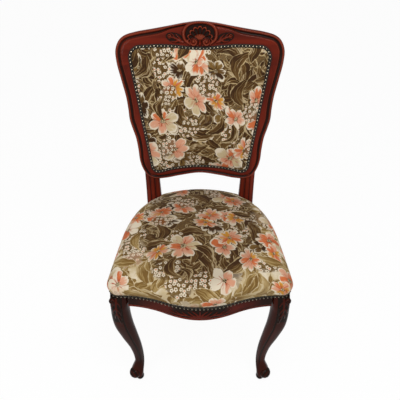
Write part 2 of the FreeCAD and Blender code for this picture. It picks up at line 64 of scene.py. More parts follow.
# Rails and front legs
RAIL_THICK, RAIL_TOP, STEP_Z, STEP_PROUD = 24.0, 428.0, 401.0, 3.5
APRON_LOW, APRON_RISE, APRON_RADIUS = 354.6, 9.0, 500.0
LEG_INNER_X, LEG_REAR_Y = 198.0, -190.0
LEG_OUTER = ((246.0, 401), (249.5, 365), (251.0, 325), (247.8, 275), (234.5, 220), (214.5, 150), (207.5, 95),
             (207.0, 60), (211.0, 30))
LEG_INNER = ((198.0, 401), (199.0, 370), (199.6, 330), (195.4, 275), (188.4, 220), (180.8, 150), (178.8, 95),
             (179.8, 60), (183.4, 30))
LEG_FRONT = ((-241.0, 401), (-246.5, 365), (-247.5, 325), (-244.5, 275), (-237.5, 220), (-228.0, 150),
             (-222.5, 95), (-223.0, 60), (-228.0, 30))
LEG_REAR = ((-190.0, 401), (-194.0, 370), (-200.0, 330), (-204.0, 275), (-202.5, 220), (-199.0, 150),
            (-198.5, 95), (-200.0, 60), (-203.0, 30))
TOE_CENTRE, TOE_RADIUS = Vector((208.5, -229.0, 36.5)), 18.8
PAD_CENTRE = Vector((196.0, -221.0))
PAD_PROFILE = ((10.0, 0.0), (12.2, 4.0), (13.0, 10.0), (11.5, 17.0), (9.0, 24.0), (8.0, 34.0))
EAR_CENTRE, EAR_RADIUS = Vector((239.5, -241.0, 387.0)), 10.0

# Raked back: points are (across, up the back), depth is measured from its front face
RAKE, PIVOT_Y, PIVOT_Z, BACK_THICK = 11.5, 157.1, 460.0, 26.0
BACK_OUTLINE = ((0.0, 541.5), (66.0, 532.5), (114.0, 523.0), (150.0, 521.5), (173.5, 532.0),
                (189.0, 556.0), (197.5, 585.0), (200.5, 620.0), (206.0, 660.0), (215.0, 691.0),
                (222.5, 720.0), (224.5, 750.0), (229.0, 790.0), (240.5, 843.0), (250.5, 892.0),
                (251.5, 928.0), (240.5, 954.0), (223.0, 968.5), (190.0, 978.5), (139.0, 987.0),
                (90.0, 995.5), (45.0, 1003.5), (0.0, 1008.0))
PANEL_RUNS = (((0.0, 568.0), (66.0, 563.2), (130.0, 548.8)), ((130.0, 548.8), (149.0, 552.8), (157.0, 572.0)),
              ((157.0, 572.0), (207.5, 897.0)), ((207.5, 897.0), (201.0, 926.0), (170.0, 937.5)),
              ((170.0, 937.5), (117.0, 939.8), (60.0, 937.0)), ((60.0, 937.0), (30.0, 933.8), (0.0, 932.7)))
PANEL_COUNTS, PANEL_SPLIT = (20, 9, 44, 13, 16, 9), 6
PANEL_MIDDLE = Vector((0.0, 745.0))
CREST_JOINT_H, LOWER_RAIL_HALF, LOWER_RAIL_TOP_H = 880.0, 136.0, 600.0
SMOOTH_STEPS, RING_COUNT, RING_MIDDLE_INSET, RIM_GROW = 24, 520, 17.6, 7.0
POST_SETBACK, POST_BEND_Z, POST_REAR_TOP, POST_TOP_Z = 4.0, 366.0, 546.0, 553.0
POST_ROWS, POST_COLUMNS, REEDS, REED_BOW = 90, 48, 3, 8.0
POST_OUTER = ((184.0, 560), (182.0, 500), (180.0, 380), (176.0, 200), (172.0, 0))
POST_INNER = ((137.0, 560), (135.5, 500), (132.5, 440), (134.5, 300), (141.0, 0))
POST_FRONT = ((142.1, 366), (142.5, 300), (155.0, 220), (192.0, 110), (241.0, 0))
POST_REAR = ((201.0, 546), (192.0, 440), (188.5, 340), (198.0, 220), (231.0, 110), (276.0, 0))

# Upholstery
SEAT_SIDE = ((0.0, 2.0), (0.1, 6.5), (0.22, 10.2), (0.36, 12.8), (0.5, 13.4), (0.64, 10.4), (0.77, 4.0),
             (0.87, -3.5), (0.95, -11.0), (1.0, -18.0))
SEAT_LOW, CROWN_TOP, CROWN_RADIUS, CROWN_Y = 404.0, 500.0, 1000.0, -60.0
BURLAP_TOP = 432.5
PAD_EDGE = ((4.5, 1.6), (0.0, 1.2), (-4.0, 0.6), (-7.0, -2.6), (-11.0, -6.6), (-16.0, -10.0), (-23.0, -12.6))
PAD_CROWN, PAD_REAR = 18.0, 19.0
BACK_SHEET_GROW, BACK_SHEET_DEPTH = 5.5, 24.6
LINING_Z = 383.0
SEAT_ROWS, PAD_ROWS, SHEET_ROWS = 24, 20, 14

# Braid sections, and where the nails stand on them
BACK_BRAID = ((-5.5, 1.6), (-4.2, -0.8), (0.0, -1.4), (4.2, -0.8), (5.5, 1.6), (0.0, 2.4))
SEAT_BRAID = ((1.5, 401.6), (4.8, 401.9), (6.4, 405.5), (7.6, 409.5), (6.4, 411.5), (2.0, 407.0))
BACK_NAIL_DEPTH, SEAT_NAIL_OUT, SEAT_NAIL_Z, SEAT_NAIL_DIP = -0.6, 6.4, 406.2, -0.25

# Studio, in metres
CAMERA_PLACE, CAMERA_PITCH, SENSOR = (0.0, -1.039, 1.293), 35.4, 36.0
KEY_PLACE, KEY_SIZE = (0.35, -1.3, 2.7), 1.2
FILL_PLACE, FILL_SIZE = (-1.3, -2.0, 1.6), 0.8
GLINT_PLACES, GLINT_SIZE = ((-1.0, -0.9, 2.3), (1.0, -0.9, 2.3)), 0.12
LIT_MIDDLE = Vector((0, 0, 0.5))
FLOOR_HALF, FLOOR_GLOW = 8, 0.94


# Curves

def polar(centre, radius, degrees):
    a = math.radians(degrees)
    return (centre[0] + radius * math.cos(a), centre[1] + radius * math.sin(a))


def value_at(points, z):
    """Smooth value at one height along a drawn edge of (value, height) points."""
    rows = sorted((p[1], p[0]) for p in points)
    zs = [r[0] for r in rows]
    vs = [r[1] for r in rows]
    z = min(max(z, zs[0]), zs[-1])
    i = max(k for k in range(len(zs) - 1) if zs[k] <= z)

    def slope(k):
        if k in (0, len(zs) - 1):
            j = min(k, len(zs) - 2)
            return (vs[j + 1] - vs[j]) / (zs[j + 1] - zs[j])
        before = (vs[k] - vs[k - 1]) / (zs[k] - zs[k - 1])
        after = (vs[k + 1] - vs[k]) / (zs[k + 1] - zs[k])
        share = (zs[k] - zs[k - 1]) / (zs[k + 1] - zs[k - 1])
        return before * (1 - share) + after * share
    span = zs[i + 1] - zs[i]
    t = (z - zs[i]) / span
    a, b = slope(i) * span, slope(i + 1) * span
    return (vs[i] * (2 * t**3 - 3 * t**2 + 1) + a * (t**3 - 2 * t**2 + t)
            + vs[i + 1] * (3 * t**2 - 2 * t**3) + b * (t**3 - t**2))


def run_points(run, count):
    """Points along a straight run or an arc through three points, without its last point."""
    if len(run) == 2:
        a, b = Vector(run[0]), Vector(run[1])
        return [a.lerp(b, k / count) for k in range(count)]
    a, m, b = (Vector(p) for p in run)
    if (b - a).length < 0.01:
        return [a] * count
    d = 2 * ((m - a).x * (b - a).y - (m - a).y * (b - a).x)
    p, q = (m - a).length_squared, (b - a).length_squared
    centre = a + Vector((((b - a).y * p - (m - a).y * q) / d, ((m - a).x * q - (b - a).x * p) / d))
    start = math.atan2(*(a - centre).yx)
    middle = (math.atan2(*(m - centre).yx) - start) % math.tau
    sweep = (math.atan2(*(b - centre).yx) - start) % math.tau
    if middle > sweep:
        sweep -= math.tau
    radius = (a - centre).length
    angles = [start + sweep * k / count for k in range(count)]
    return [centre + Vector((math.cos(t), math.sin(t))) * radius for t in angles]


def evenly(points, count):
    """Closed loop resampled at equal distances."""
    loop = points + points[:1]
    lengths = [0.0]
    for a, b in zip(loop, loop[1:]):
        lengths.append(lengths[-1] + (b - a).length)
    made, k = [], 0
    for n in range(count):
        at = lengths[-1] * n / count
        while lengths[k + 1] < at:
            k += 1
        made.append(loop[k].lerp(loop[k + 1], (at - lengths[k]) / (lengths[k + 1] - lengths[k])))
    return made


def smooth_loop(points, count):
    """Closed loop drawn smoothly through points."""
    n = len(points)
    fine = []
    for i in range(n):
        p0, p1, p2, p3 = (points[(i + k - 1) % n] for k in range(4))
        t1 = (p1 - p0).length ** 0.5
        t2 = t1 + (p2 - p1).length ** 0.5
        t3 = t2 + (p3 - p2).length ** 0.5
        for k in range(SMOOTH_STEPS):
            t = t1 + (t2 - t1) * k / SMOOTH_STEPS
            a1 = p0.lerp(p1, t / t1)
            a2 = p1.lerp(p2, (t - t1) / (t2 - t1))
            a3 = p2.lerp(p3, (t - t2) / (t3 - t2))
            b1 = a1.lerp(a2, t / t2)
            b2 = a2.lerp(a3, (t - t1) / (t3 - t1))
            fine.append(b1.lerp(b2, (t - t1) / (t2 - t1)))
    return evenly(fine, count)


def normal(a, b):
    """Unit normal on the right of the way between two points."""
    t = (b - a).normalized()
    return Vector((t.y, -t.x))


def outward(loop):
    """Outward normals of an anticlockwise closed loop."""
    n = len(loop)
    return [normal(loop[i - 1], loop[(i + 1) % n]) for i in range(n)]


def open_normals(path, reach):
    """Outward normals of an open path, each taken over some points on both sides."""
    last = len(path) - 1
    return [normal(path[max(i - reach, 0)], path[min(i + reach, last)]) for i in range(last + 1)]


def other_side(points):
    """Mirror image of some points, in reverse order."""
    return [Vector((-p.x, p.y)) for p in reversed(points)]


def both_sides(half):
    """Open path from its right half, which starts on the middle line."""
    return other_side(half[1:]) + half


def mirrored(half):
    """Closed loop from its right half, which starts and ends on the middle line."""
    return half + other_side(half[1:-1])


def finer(path, parts):
    """A path with each stretch split in equal parts, without its last point."""
    return [a.lerp(b, k / parts) for a, b in zip(path, path[1:]) for k in range(parts)]


def drawn(runs, counts):
    """Points along joined runs, with the last point."""
    made = []
    for run, count in zip(runs, counts):
        made += run_points(run, count)
    return made + [Vector(runs[-1][-1])]


def back_loop():
    return smooth_loop(mirrored([Vector(p) for p in BACK_OUTLINE]), RING_COUNT)


def panel_loop():
    return mirrored(drawn(PANEL_RUNS, PANEL_COUNTS))


def seat_half(offset):
    """Right half of the seat plan, front middle to rear corner, offset outwards."""
    wide = (CORNER_X**2 + BOW_DEPTH**2) / (2 * BOW_DEPTH)
    turn = math.degrees(math.asin(CORNER_X / wide))
    hollow_radius = wide - BOW_RADIUS
    bow = (0.0, BOW_RADIUS - RAIL_FRONT)
    hollow = polar(bow, BOW_RADIUS + hollow_radius, turn - 90)
    corner = (CORNER_X, BOW_DEPTH - RAIL_FRONT + CORNER_RADIUS)
    straight_end = polar(polar(corner, CORNER_RADIUS, SIDE_TILT), SIDE_STRAIGHT, 90 + SIDE_TILT)
    side = polar(straight_end, -SIDE_RADIUS, SIDE_TILT)
    bow_r, hollow_r = BOW_RADIUS + offset, hollow_radius - offset
    corner_r, side_r = CORNER_RADIUS + offset, SIDE_RADIUS + offset
    rear = (REAR_X, REAR_Y + REAR_SHARE * offset)
    runs = (
        [polar(bow, bow_r, a) for a in (-90, turn / 2 - 90, turn - 90)],
        [polar(hollow, hollow_r, a) for a in (90 + turn, 90 + turn / 2, 90)],
        [polar(corner, corner_r, a) for a in (-90, (SIDE_TILT - 90) / 2, SIDE_TILT)],
        [polar(corner, corner_r, SIDE_TILT), polar(side, side_r, SIDE_TILT)],
        [polar(side, side_r, a) for a in (SIDE_TILT, (SIDE_TILT + SIDE_TURN_END) / 2, SIDE_TURN_END)],
        [polar(side, side_r, SIDE_TURN_END), rear],
    )
    return drawn(runs, RUN_COUNTS)


def seat_loop(offset):
    half = seat_half(offset)
    rear = [Vector((half[-1].x * (1 - 2 * k / REAR_COUNT), half[-1].y)) for k in range(1, REAR_COUNT)]
    return half + rear + other_side(half[1:])


def apron_low(x):
    """Lower edge of the front apron."""
    wide = (LEG_INNER_X**2 + APRON_RISE**2) / (2 * APRON_RISE)
    turn = math.asin(LEG_INNER_X / wide)
    low_end = APRON_RADIUS * math.sin(turn)
    x = min(abs(x), LEG_INNER_X)
    if x <= low_end:
        return APRON_LOW + APRON_RADIUS - math.sqrt(APRON_RADIUS**2 - x**2)
    hollow = wide - APRON_RADIUS
    return APRON_LOW + APRON_RISE - hollow + math.sqrt(hollow**2 - (LEG_INNER_X - x) ** 2)


def on_back(x, h, depth):
    """Place on the raked back, in metres."""
    s, c = math.sin(math.radians(RAKE)), math.cos(math.radians(RAKE))
    y = PIVOT_Y + (h - PIVOT_Z) * s + depth * c
    z = PIVOT_Z + (h - PIVOT_Z) * c - depth * s
    return Vector((x, y, z)) * MM


def post_front(z):
    """Front face of a rear post at one height."""
    if z >= POST_BEND_Z:
        slope = math.radians(RAKE)
        return PIVOT_Y + (z - PIVOT_Z) * math.tan(slope) + POST_SETBACK / math.cos(slope)
    return value_at(POST_FRONT, z)


def smoothstep(low, high, x):
    t = min(max((x - low) / (high - low), 0.0), 1.0)
    return t * t * (3 - 2 * t)


# Meshes

def loft(rings, caps=True):
    """Vertices and faces of closed sections joined in a row."""
    n = len(rings[0])
    verts = [p for ring in rings for p in ring]
    faces = []
    for r in range(len(rings) - 1):
        for k in range(n):
            a, b = r * n + k, r * n + (k + 1) % n
            faces.append((a, b, b + n, a + n))
    if caps:
        faces.append(tuple(range(n)))
        faces.append(tuple(range((len(rings) - 1) * n, len(rings) * n)))
    return verts, faces


def fan_closed(rings, middles):
    """Closed sections joined in a row, both ends closed by a fan to a middle point."""
    n = len(rings[0])
    verts, faces = loft(rings, False)
    for base, middle in zip((0, (len(rings) - 1) * n), middles):
        verts.append(middle)
        faces += [(base + k, base + (k + 1) % n, len(verts) - 1) for k in range(n)]
    return verts, faces


def linked(name, data):
    """A new object in the scene."""
    obj = bpy.data.objects.new(name, data)
    bpy.context.scene.collection.objects.link(obj)
    return obj


def mesh_of(name, verts, faces):
    mesh = bpy.data.meshes.new(name)
    mesh.from_pydata(verts, [], faces)
    return mesh


def lay_cloth(mesh, spots):
    """Stores each vertex's place on the flat cloth."""
    layer = mesh.uv_layers.new(name="cloth")
    for corner in mesh.loops:
        layer.data[corner.index].uv = spots[corner.vertex_index] * MM


def joined(*shells):
    """Several shells as one list of vertices, faces and painted light."""
    verts, faces, glaze = [], [], []
    for v, f, g in shells:
        faces += [tuple(i + len(verts) for i in face) for face in f]
        verts += v
        glaze += g
    return verts, faces, glaze


def flipped(shell):
    """Mirror image on the chair's other side."""
    verts, faces, glaze = shell
    return [Vector((-v.x, v.y, v.z)) for v in verts], [tuple(reversed(f)) for f in faces], list(glaze)


def wooden(name, shell, material, replaced=(), sharp=38.0):
    """A wooden piece with its painted light stored for the finish: 1 painted shade, 0 plain, below 0 painted
    highlight.
    """
    verts, faces, glaze = shell
    mesh = mesh_of(name, verts, faces)
    stain = mesh.attributes.new("glaze", "FLOAT", "POINT")
    stain.data.foreach_set("value", glaze)
    return put(name, mesh, material, replaced, sharp)


def put(name, mesh, material, replaced=(), sharp=38.0):
    """Links a finished mesh as a piece of the chair."""
    bm = bmesh.new()
    bm.from_mesh(mesh)
    bmesh.ops.recalc_face_normals(bm, faces=bm.faces[:])
    bm.to_mesh(mesh)
    bm.free()
    mesh.polygons.foreach_set("use_smooth", [True] * len(mesh.polygons))
    if sharp:
        mesh.set_sharp_from_angle(angle=math.radians(sharp))
    mesh.materials.clear()
    mesh.materials.append(material)
    obj = linked(name, mesh)
    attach(obj, "root")
    if replaced:
        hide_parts(*replaced)
    return obj


def ball(centre, radius, axis, groove, squash):
    """Scroll end: a knob with a spiral cut into both of its sides."""
    axis = axis.normalized()
    side = axis.orthogonal().normalized()
    third = axis.cross(side)
    rings, cuts = [], []
    rows, columns = 26, 44
    for r in range(rows + 1):
        lat = math.pi * r / rows
        ring = []
        for k in range(columns):
            turn = math.tau * k / columns
            out = math.sin(lat)
            reach = out * radius
            spiral = math.cos(2 * math.pi * (reach / (radius * 0.42)) - turn)
            shown = smoothstep(0.05, 0.25, out) * (1 - smoothstep(0.93, 1.0, out))
            cut = groove * max(0.0, spiral) ** 2 * shown
            p = (side * math.cos(turn) + third * math.sin(turn)) * max(out, 0.004) * radius
            p += axis * math.cos(lat) * (radius * squash - cut * abs(math.cos(lat)))
            ring.append((centre + p) * MM)
            # Painted shade in the spiral cuts
            cuts.append(min(1.0, 0.15 + cut / groove))
        rings.append(ring)
    return (*loft(rings), cuts)


def turned(centre, profile, columns=36):
    """A turned piece on a vertical axis from (radius, height) points."""
    turns = [360 * k / columns for k in range(columns)]
    rings = [[Vector((*polar(centre, radius, turn), z)) * MM for turn in turns] for radius, z in profile]
    # An even painted shade of 0.35
    return (*loft(rings), [0.35] * (columns * len(profile)))


def stroke(x, y, path, wide, narrow):
    """How far a point lies inside a tapering carved stroke: 1 on its middle line, 0 from its edge on."""
    best = 0.0
    lengths = [math.dist(a, b) for a, b in zip(path, path[1:])]
    total, before = sum(lengths), 0.0
    for (ax, ay), (bx, by), length in zip(path, path[1:], lengths):
        t = ((x - ax) * (bx - ax) + (y - ay) * (by - ay)) / length**2
        t = min(max(t, 0.0), 1.0)
        gap = math.hypot(x - ax - t * (bx - ax), y - ay - t * (by - ay))
        share = (before + t * length) / total
        width = wide + (narrow - wide) * share
        best = max(best, 1 - gap / width)
        before += length
    return best


def deepest(x, y, strokes):
    """How far a point lies inside the nearest of several strokes."""
    return max(stroke(x, y, path, wide, narrow) for path, wide, narrow in strokes)


def bent(path, rounds=2):
    """A path with its corners rounded."""
    for _ in range(rounds):
        made = [path[0]]
        for (ax, ay), (bx, by) in zip(path, path[1:]):
            made.append((ax * 0.75 + bx * 0.25, ay * 0.75 + by * 0.25))
            made.append((ax * 0.25 + bx * 0.75, ay * 0.25 + by * 0.75))
        path = made + [path[-1]]
    return path


def scroll(dx, dy, radius, hand):
    """Height share of a carved volute: a rising spiral ridge."""
    r = math.hypot(dx, dy)
    if r > radius:
        return 0.0
    turn = math.atan2(dy, dx) * hand
    phase = math.log(max(r, 0.5) / radius) / 0.22 - turn
    ridge = 0.5 + 0.5 * math.cos(phase)
    edge = smoothstep(0.0, 0.18, 1 - r / radius)
    eye = 1 - smoothstep(0.16, 0.3, r / radius)
    return edge * max(eye, 0.35 + 0.65 * ridge)


# Finishes

class Wire:
    """A number on its way between shader nodes, for use in plain arithmetic."""

    def __init__(self, bench, socket):
        self.bench = bench
        self.socket = socket

    def math(self, operation, *others):
        return self.bench.math(operation, self, *others)

    def __add__(self, other):
        return self.math("ADD", other)

    __radd__ = __add__

    def __sub__(self, other):
        return self.math("SUBTRACT", other)

    def __rsub__(self, other):
        return self.bench.math("SUBTRACT", other, self)

    def __mul__(self, other):
        return self.math("MULTIPLY", other)

    __rmul__ = __mul__

    def __truediv__(self, other):
        return self.math("DIVIDE", other)

    def __pow__(self, other):
        return self.math("POWER", other)

    def __abs__(self):
        return self.math("ABSOLUTE")

    def rises(self, low, high):
        """0 below low, 1 above high, smooth between."""
        node = self.bench.add("ShaderNodeMapRange", {"interpolation_type": "SMOOTHSTEP"},
                              {"Value": self, "From Min": low, "From Max": high})
        return Wire(self.bench, node.outputs["Result"])

    def falls(self, low, high):
        return 1 - self.rises(low, high)

    def below(self, share):
        return self.falls(share, share + 0.02)


class Bench:
    """A node tree under construction: a material's, the world's or a geometry rule's."""

    def __init__(self, name, world=None, tree=None):
        self.tree = tree
        if tree:
            return
        self.material = world or bpy.data.materials.new(name)
        self.material.use_nodes = True
        self.tree = self.material.node_tree
        self.tree.nodes.clear()
        self.out = self.add("ShaderNodeOutputWorld" if world else "ShaderNodeOutputMaterial")

    def add(self, kind, settings=None, sockets=None):
        """Adds a node, makes its settings, then fills or links its sockets."""
        node = self.tree.nodes.new(kind)
        for key, value in (settings or {}).items():
            setattr(node, key, value)
        for key, value in (sockets or {}).items():
            socket = node.inputs[key]
            if isinstance(value, Wire):
                value = value.socket
            if isinstance(value, bpy.types.NodeSocket):
                self.tree.links.new(value, socket)
            elif socket.type == "RGBA" and len(value) == 3:
                socket.default_value = (*value, 1.0)
            else:
                socket.default_value = value
        return node

    def math(self, operation, *values):
        node = self.add("ShaderNodeMath", {"operation": operation}, dict(enumerate(values)))
        return Wire(self, node.outputs[0])

    def mix(self, factor, first, second):
        node = self.add("ShaderNodeMix", {"data_type": "RGBA"}, {0: factor, 6: first, 7: second})
        return node.outputs[2]

    def vector(self, operation, *values):
        return self.add("ShaderNodeVectorMath", {"operation": operation}, dict(enumerate(values))).outputs[0]

    def scaled(self, vector, factor):
        node = self.add("ShaderNodeVectorMath", {"operation": "SCALE"}, {0: vector, "Scale": factor})
        return node.outputs[0]

    def split(self, vector):
        node = self.add("ShaderNodeSeparateXYZ", None, {0: vector})
        return [Wire(self, node.outputs[k]) for k in range(3)]

    def noise_node(self, vector, scale, detail, rough):
        return self.add("ShaderNodeTexNoise", None,
                        {"Vector": vector, "Scale": scale, "Detail": detail, "Roughness": rough})

    def noise(self, vector, scale, detail=3.0, rough=0.55):
        return Wire(self, self.noise_node(vector, scale, detail, rough).outputs[0])

    def streaks(self, axis, along, across, detail, rough):
        """Noise that is drawn out along one axis, such as the grain of wood."""
        scale = [across] * 3
        scale[axis] = along
        at = self.add("ShaderNodeMapping", None, {"Vector": self.coordinates(), "Scale": scale})
        return self.noise(at.outputs[0], 1.0, detail, rough)

    def attribute(self, name):
        node = self.add("ShaderNodeAttribute", {"attribute_name": name})
        return Wire(self, node.outputs["Fac"])

    def coordinates(self):
        return self.add("ShaderNodeTexCoord").outputs["Object"]

    def finish(self, colour, constants, roughness=None, height=None, strength=0.3, distance=0.001):
        """Closes the material with one glossy or matt surface."""
        sockets = dict(constants)
        sockets["Base Color"] = colour
        if roughness is not None:
            sockets["Roughness"] = roughness
        if height is not None:
            bump = self.add("ShaderNodeBump", None,
                            {"Strength": strength, "Distance": distance, "Height": height})
            sockets["Normal"] = bump.outputs[0]
        return self.close(self.add("ShaderNodeBsdfPrincipled", None, sockets))

    def close(self, shader):
        self.tree.links.new(shader.outputs[0], self.out.inputs["Surface"])
        return self.material


FINISHES = {}


def kept(name, make):
    """The finish of that name, made when first asked for."""
    if name not in FINISHES:
        FINISHES[name] = make(name)
    return FINISHES[name]


def stained_wood(name, grain_axis, shade, gloss):
    """Red-brown polished wood. Shade is painted shade: it darkens the wood towards the painted shade colour,
    as the stored painted light does in the recesses; below 0 that paints a highlight instead.
    """
    colours = bpy.context.scene.chair_finish
    bench = Bench(name)
    grain = bench.streaks(grain_axis, 2.2, 26.0, 5.0, 0.6)
    pores = bench.streaks(grain_axis, 14.0, 420.0, 2.0, 0.5)
    cloud = bench.noise(bench.coordinates(), 7.0, 2.0, 0.5)
    body = bench.mix(grain.rises(0.3, 0.72), colours.wood_deep, colours.wood_red)
    body = bench.mix(pores.rises(0.6, 0.75) * 0.35, body, colours.wood_deep)
    glaze = bench.attribute("glaze")
    # Painted shade: the stored painted light and the finish's shade, with some random cloud
    dark = glaze + shade + (cloud - 0.5) * 0.35
    body = bench.mix(dark.rises(0.05, 1.05), body, colours.wood_painted_shade)
    # Painted highlight where the stored painted light is below 0, weaker on the pieces in painted shade
    body = bench.mix(glaze.falls(-0.45, -0.02) * (0.55 - 0.55 * shade), body, colours.wood_painted_highlight)
    rough = 0.13 + grain * 0.1 + glaze * 0.15
    polish = {"Coat Weight": 0.02, "Coat Roughness": 0.1, "Specular IOR Level": gloss}
    return bench.finish(body, polish, rough, pores, 0.12, 0.0004)


# Each wooden finish: the axis its grain follows, its painted shade (deepest on the legs, the apron and the
# side rails) and its gloss
WOODS = {"crest_wood": (0, 0.0, 0.05), "post_wood": (2, 0.06, 0.05), "apron_wood": (0, 0.4, 0.035),
         "side_wood": (1, 0.3, 0.05), "leg_wood": (2, 0.6, 0.04)}


def wood(name):
    return kept(name, lambda n: stained_wood(n, *WOODS[n]))


def sawn_wood(name):
    colours = bpy.context.scene.chair_finish
    bench = Bench(name)
    grain = bench.streaks(0, 4.0, 40.0, 5.0, 0.6)
    dark = [c * 0.55 for c in colours.block_wood]
    body = bench.mix(grain.rises(0.3, 0.7), colours.block_wood, dark)
    return bench.finish(body, {}, 0.6 + grain * 0.2, grain, 0.3, 0.0006)


def woven(name, setting, pitch, contrast):
    """Plain woven cloth of one colour, such as jute or dust cloth."""
    thread = getattr(bpy.context.scene.chair_finish, setting)
    bench = Bench(name)
    x, y, z = bench.split(bench.coordinates())
    over = (x * (math.tau / pitch)).math("SINE")
    under = ((y + z) * (math.tau / pitch)).math("SINE")
    weave = over * under * 0.5 + 0.5
    fuzz = bench.noise(bench.coordinates(), 900.0, 2.0)
    dark = [c * contrast for c in thread]
    body = bench.mix(weave * 0.6 + fuzz * 0.4, dark, thread)
    return bench.finish(body, {}, 0.85 + fuzz * 0.1, weave + fuzz * 0.5, 0.5, 0.0006)


# Each plain cloth: its colour setting, the pitch of its weave and how dark its gaps are
WEAVES = {"woven_jute": ("jute", 0.004, 0.55), "dust_cloth": ("lining", 0.0016, 0.6),
          "dark_braid": ("braid", 0.0028, 0.5)}


def plain_cloth(name):
    return kept(name, lambda n: woven(n, *WEAVES[n]))


def make_bronze(name):
    """Nail heads with dark rims and a painted highlight on their tops."""
    colours = bpy.context.scene.chair_finish
    bench = Bench(name)
    patina = bench.noise(bench.coordinates(), 260.0, 3.0, 0.6)
    # The dome's height masks the painted highlight on the nails' tops
    worn = (bench.attribute("worn") + (patina - 0.5) * 0.2).rises(0.41, 0.53)
    body = bench.mix(worn, colours.nail_rim, colours.nail_highlight)
    return bench.finish(body, {"Metallic": 1.0}, 0.16 + patina * 0.2, patina, 0.2, 0.0004)


